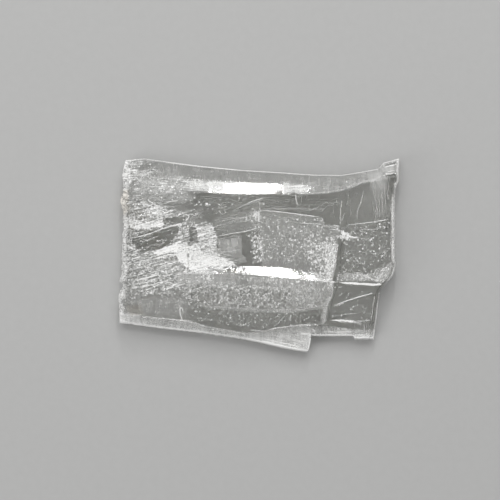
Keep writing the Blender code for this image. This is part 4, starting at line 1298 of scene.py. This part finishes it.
def crystal_material():
    n = Nodes("selenite_clear")
    haze, frost = n.mask("haze"), n.mask("frost")
    place = n.add("ShaderNodeSeparateXYZ", Vector=n.add("ShaderNodeTexCoord").outputs["Object"]).outputs
    grain = n.noise((0.4, 0.4, 0.4), detail=3.0)
    climbing = n.noise((4.0, 0.26, 1.5), detail=3.0, distortion=0.25, turn=HACKLE_ANGLE)
    level = n.noise((4.0, 0.24, 1.5), detail=3.0)
    upright = n.noise((0.32, 0.8, 1.5), detail=3.0)
    streaks = n.mixed(climbing, upright, n.fit(place["X"], *MIDDLE_X))
    streaks = n.mixed(streaks, level, n.fit(place["Y"], *BACK_SLOPE_Y))
    streaky = n.plus(n.fit(place["Y"], *FRONT_ROOF_Y, 0.15, 0.5), n.fit(place["Y"], *BACK_SLOPE_Y, 0, 0.3))
    texture = n.mixed(grain, streaks, streaky)
    # The noise lies mostly between 0.3 and 0.7: the frost's cover picks where in that range it starts
    start = n.fit(frost, 0.0, 1.0, 0.7, 0.27)
    over = n.math("DIVIDE", n.minus(texture, start), 0.085, clamp=True)
    bruised = n.times(over, n.fit(frost, 0.02, 0.2))
    # The frost is thinner on the front roof, but not at the broken end
    sparing = n.larger(n.fit(place["Y"], *FRONT_ROOF_Y, 0.45, 1), n.fit(place["X"], *BROKEN_END_X, 1, 0))
    bruised = n.times(bruised, sparing)
    sugar = n.larger(n.grains(0.62, n.times(frost, 2.0)), n.times(n.grains(0.4, n.times(frost, 1.6)), 0.6))
    bruised = n.larger(bruised, n.times(sugar, n.fit(place["Y"], *FRONT_ROOF_Y, 0.78, 1)))
    # The haze mask holds the painted rim highlight too, which shows as white here
    white = n.larger(n.times(bruised, 0.96), haze)

    scratches = n.noise((9.0, 0.12, 2.0), detail=2.0)
    dull = n.times(n.fit(scratches, 0.55, 0.75), 0.1)
    scraped = n.times(n.fit(frost, 0.0, 0.3), n.fit(streaks, 0.35, 0.6, 0.04, 0.26))
    rough = n.plus(n.plus(0.03, dull), n.times(bruised, 0.5))
    rough = n.plus(rough, n.larger(scraped, n.times(n.mask("resting"), 0.25)), clamp=True)

    striae = n.noise((14.0, 0.35, 3.0), detail=3.0)
    height = n.plus(n.times(striae, 0.3), n.times(texture, frost))
    bump = n.add("ShaderNodeBump", Height=height, Strength=0.3, Distance=0.12 * MM)
    colour = n.mixed_colour((0.985, 0.985, 0.972), (0.93, 0.86, 0.755), n.mask("stain"))
    n.fill(n.shader, Base_Color=colour, IOR=GYPSUM_IOR, Roughness=rough, Normal=bump.outputs[0],
           Transmission_Weight=n.minus(1.0, white))

    inside = n.add("ShaderNodeVolumeAbsorption", Color=(0.8, 0.8, 0.775, 1), Density=75.0)
    n.fill(n.tree.nodes["Material Output"], Volume=inside.outputs[0])
    return n.material


def frost_and_glint_material(name, opacity):
    """White bruised crystal that lets some of what lies under it show. The same white also serves for painted
    glints and highlights on edges.
    """
    n = Nodes(name)
    n.fill(n.shader, Base_Color=(0.97, 0.97, 0.955, 1), Roughness=0.45, IOR=GYPSUM_IOR, Alpha=opacity)
    return n.material


def floor_material():
    n = Nodes("pale_floor")
    colour = n.mixed_colour((0.47, 0.47, 0.465), (0.5, 0.5, 0.495), n.noise((2.0, 2.0, 2.0), detail=3.0))
    n.fill(n.shader, Base_Color=colour, Roughness=0.9, Specular_IOR_Level=0.1)
    return n.material


# Stage

FLOOR_HALF_SIZE = 1500
FLOOR_HEIGHT = -0.02
# Soft lights: name, place and target, width and height in millimetres, watts. The key light is what the
# two polished facets reflect.
LIGHTS = [
    ("key", (28.6, 473, 375), (0, 8, 9), 24, 150, 0.55),
    ("sheet", (0, 470, 760), (0, 0, 9), 900, 420, 3.2),
    ("fill", (-650, -330, 420), (0, 0, 5), 420, 420, 1.1),
]
# The world's light: its brightness at the horizon and straight above, and its strength
SKY = (0.35, 0.95)
SKY_STRENGTH = 0.66


def add_floor():
    signs = [(-1, -1), (1, -1), (1, 1), (-1, 1)]
    corners = [(a * FLOOR_HALF_SIZE, b * FLOOR_HALF_SIZE, FLOOR_HEIGHT) for a, b in signs]
    floor = mesh_object("floor", corners, [(0, 1, 2, 3)], floor_material(), smooth=False)


def add_softbox(name, place, target, width, height, watts):
    """A rectangular light that faces its target."""
    light = bpy.data.lights.new(name, "AREA")
    light.shape = "RECTANGLE"
    light.size, light.size_y, light.energy = width * MM, height * MM, watts
    obj = bpy.data.objects.new(name, light)
    bpy.context.scene.collection.objects.link(obj)
    place, target = (np.array(p, float) * MM for p in (place, target))
    obj.location = place
    obj.rotation_mode = "QUATERNION"
    obj.rotation_quaternion = Vector(target - place).to_track_quat("-Z", "Y")


def add_world():
    world = bpy.data.worlds.new("studio")
    bpy.context.scene.world = world
    world.use_nodes = True
    tree = world.node_tree
    place = tree.nodes.new("ShaderNodeTexCoord")
    split = tree.nodes.new("ShaderNodeSeparateXYZ")
    ramp = tree.nodes.new("ShaderNodeMapRange")
    tree.links.new(place.outputs["Generated"], split.inputs[0])
    tree.links.new(split.outputs["Z"], ramp.inputs["Value"])
    for key, value in {"From Min": 0.0, "From Max": 1.0, "To Min": SKY[0], "To Max": SKY[1]}.items():
        ramp.inputs[key].default_value = value
    tree.links.new(ramp.outputs[0], tree.nodes["Background"].inputs["Color"])
    tree.nodes["Background"].inputs["Strength"].default_value = SKY_STRENGTH


def add_camera():
    lens = bpy.data.cameras.new("camera")
    lens.sensor_width = SENSOR_MM
    lens.lens = SENSOR_MM * CAMERA_HEIGHT / (FRAME_PIXELS * MM_PER_PIXEL)
    lens.clip_start, lens.clip_end = 0.01, 20.0
    camera = bpy.data.objects.new("camera", lens)
    bpy.context.scene.collection.objects.link(camera)
    x, y = spot(FRAME_PIXELS / 2, FRAME_PIXELS / 2)
    camera.location = (x * MM, y * MM, CAMERA_HEIGHT * MM)
    bpy.context.scene.camera = camera


def set_view():
    scene = bpy.context.scene
    scene.view_settings.view_transform = "Standard"
    scene.cycles.use_denoising = True
    scene.cycles.max_bounces = 20
    scene.cycles.transmission_bounces = 18
    scene.cycles.transparent_max_bounces = 12


crystal = crystal_object(crystal_material(), *crystal_surface())
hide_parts(NODE)
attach(crystal, "root")
add_marks(crystal)

add_floor()
add_world()
for light in LIGHTS:
    add_softbox(*light)
add_camera()
set_view()
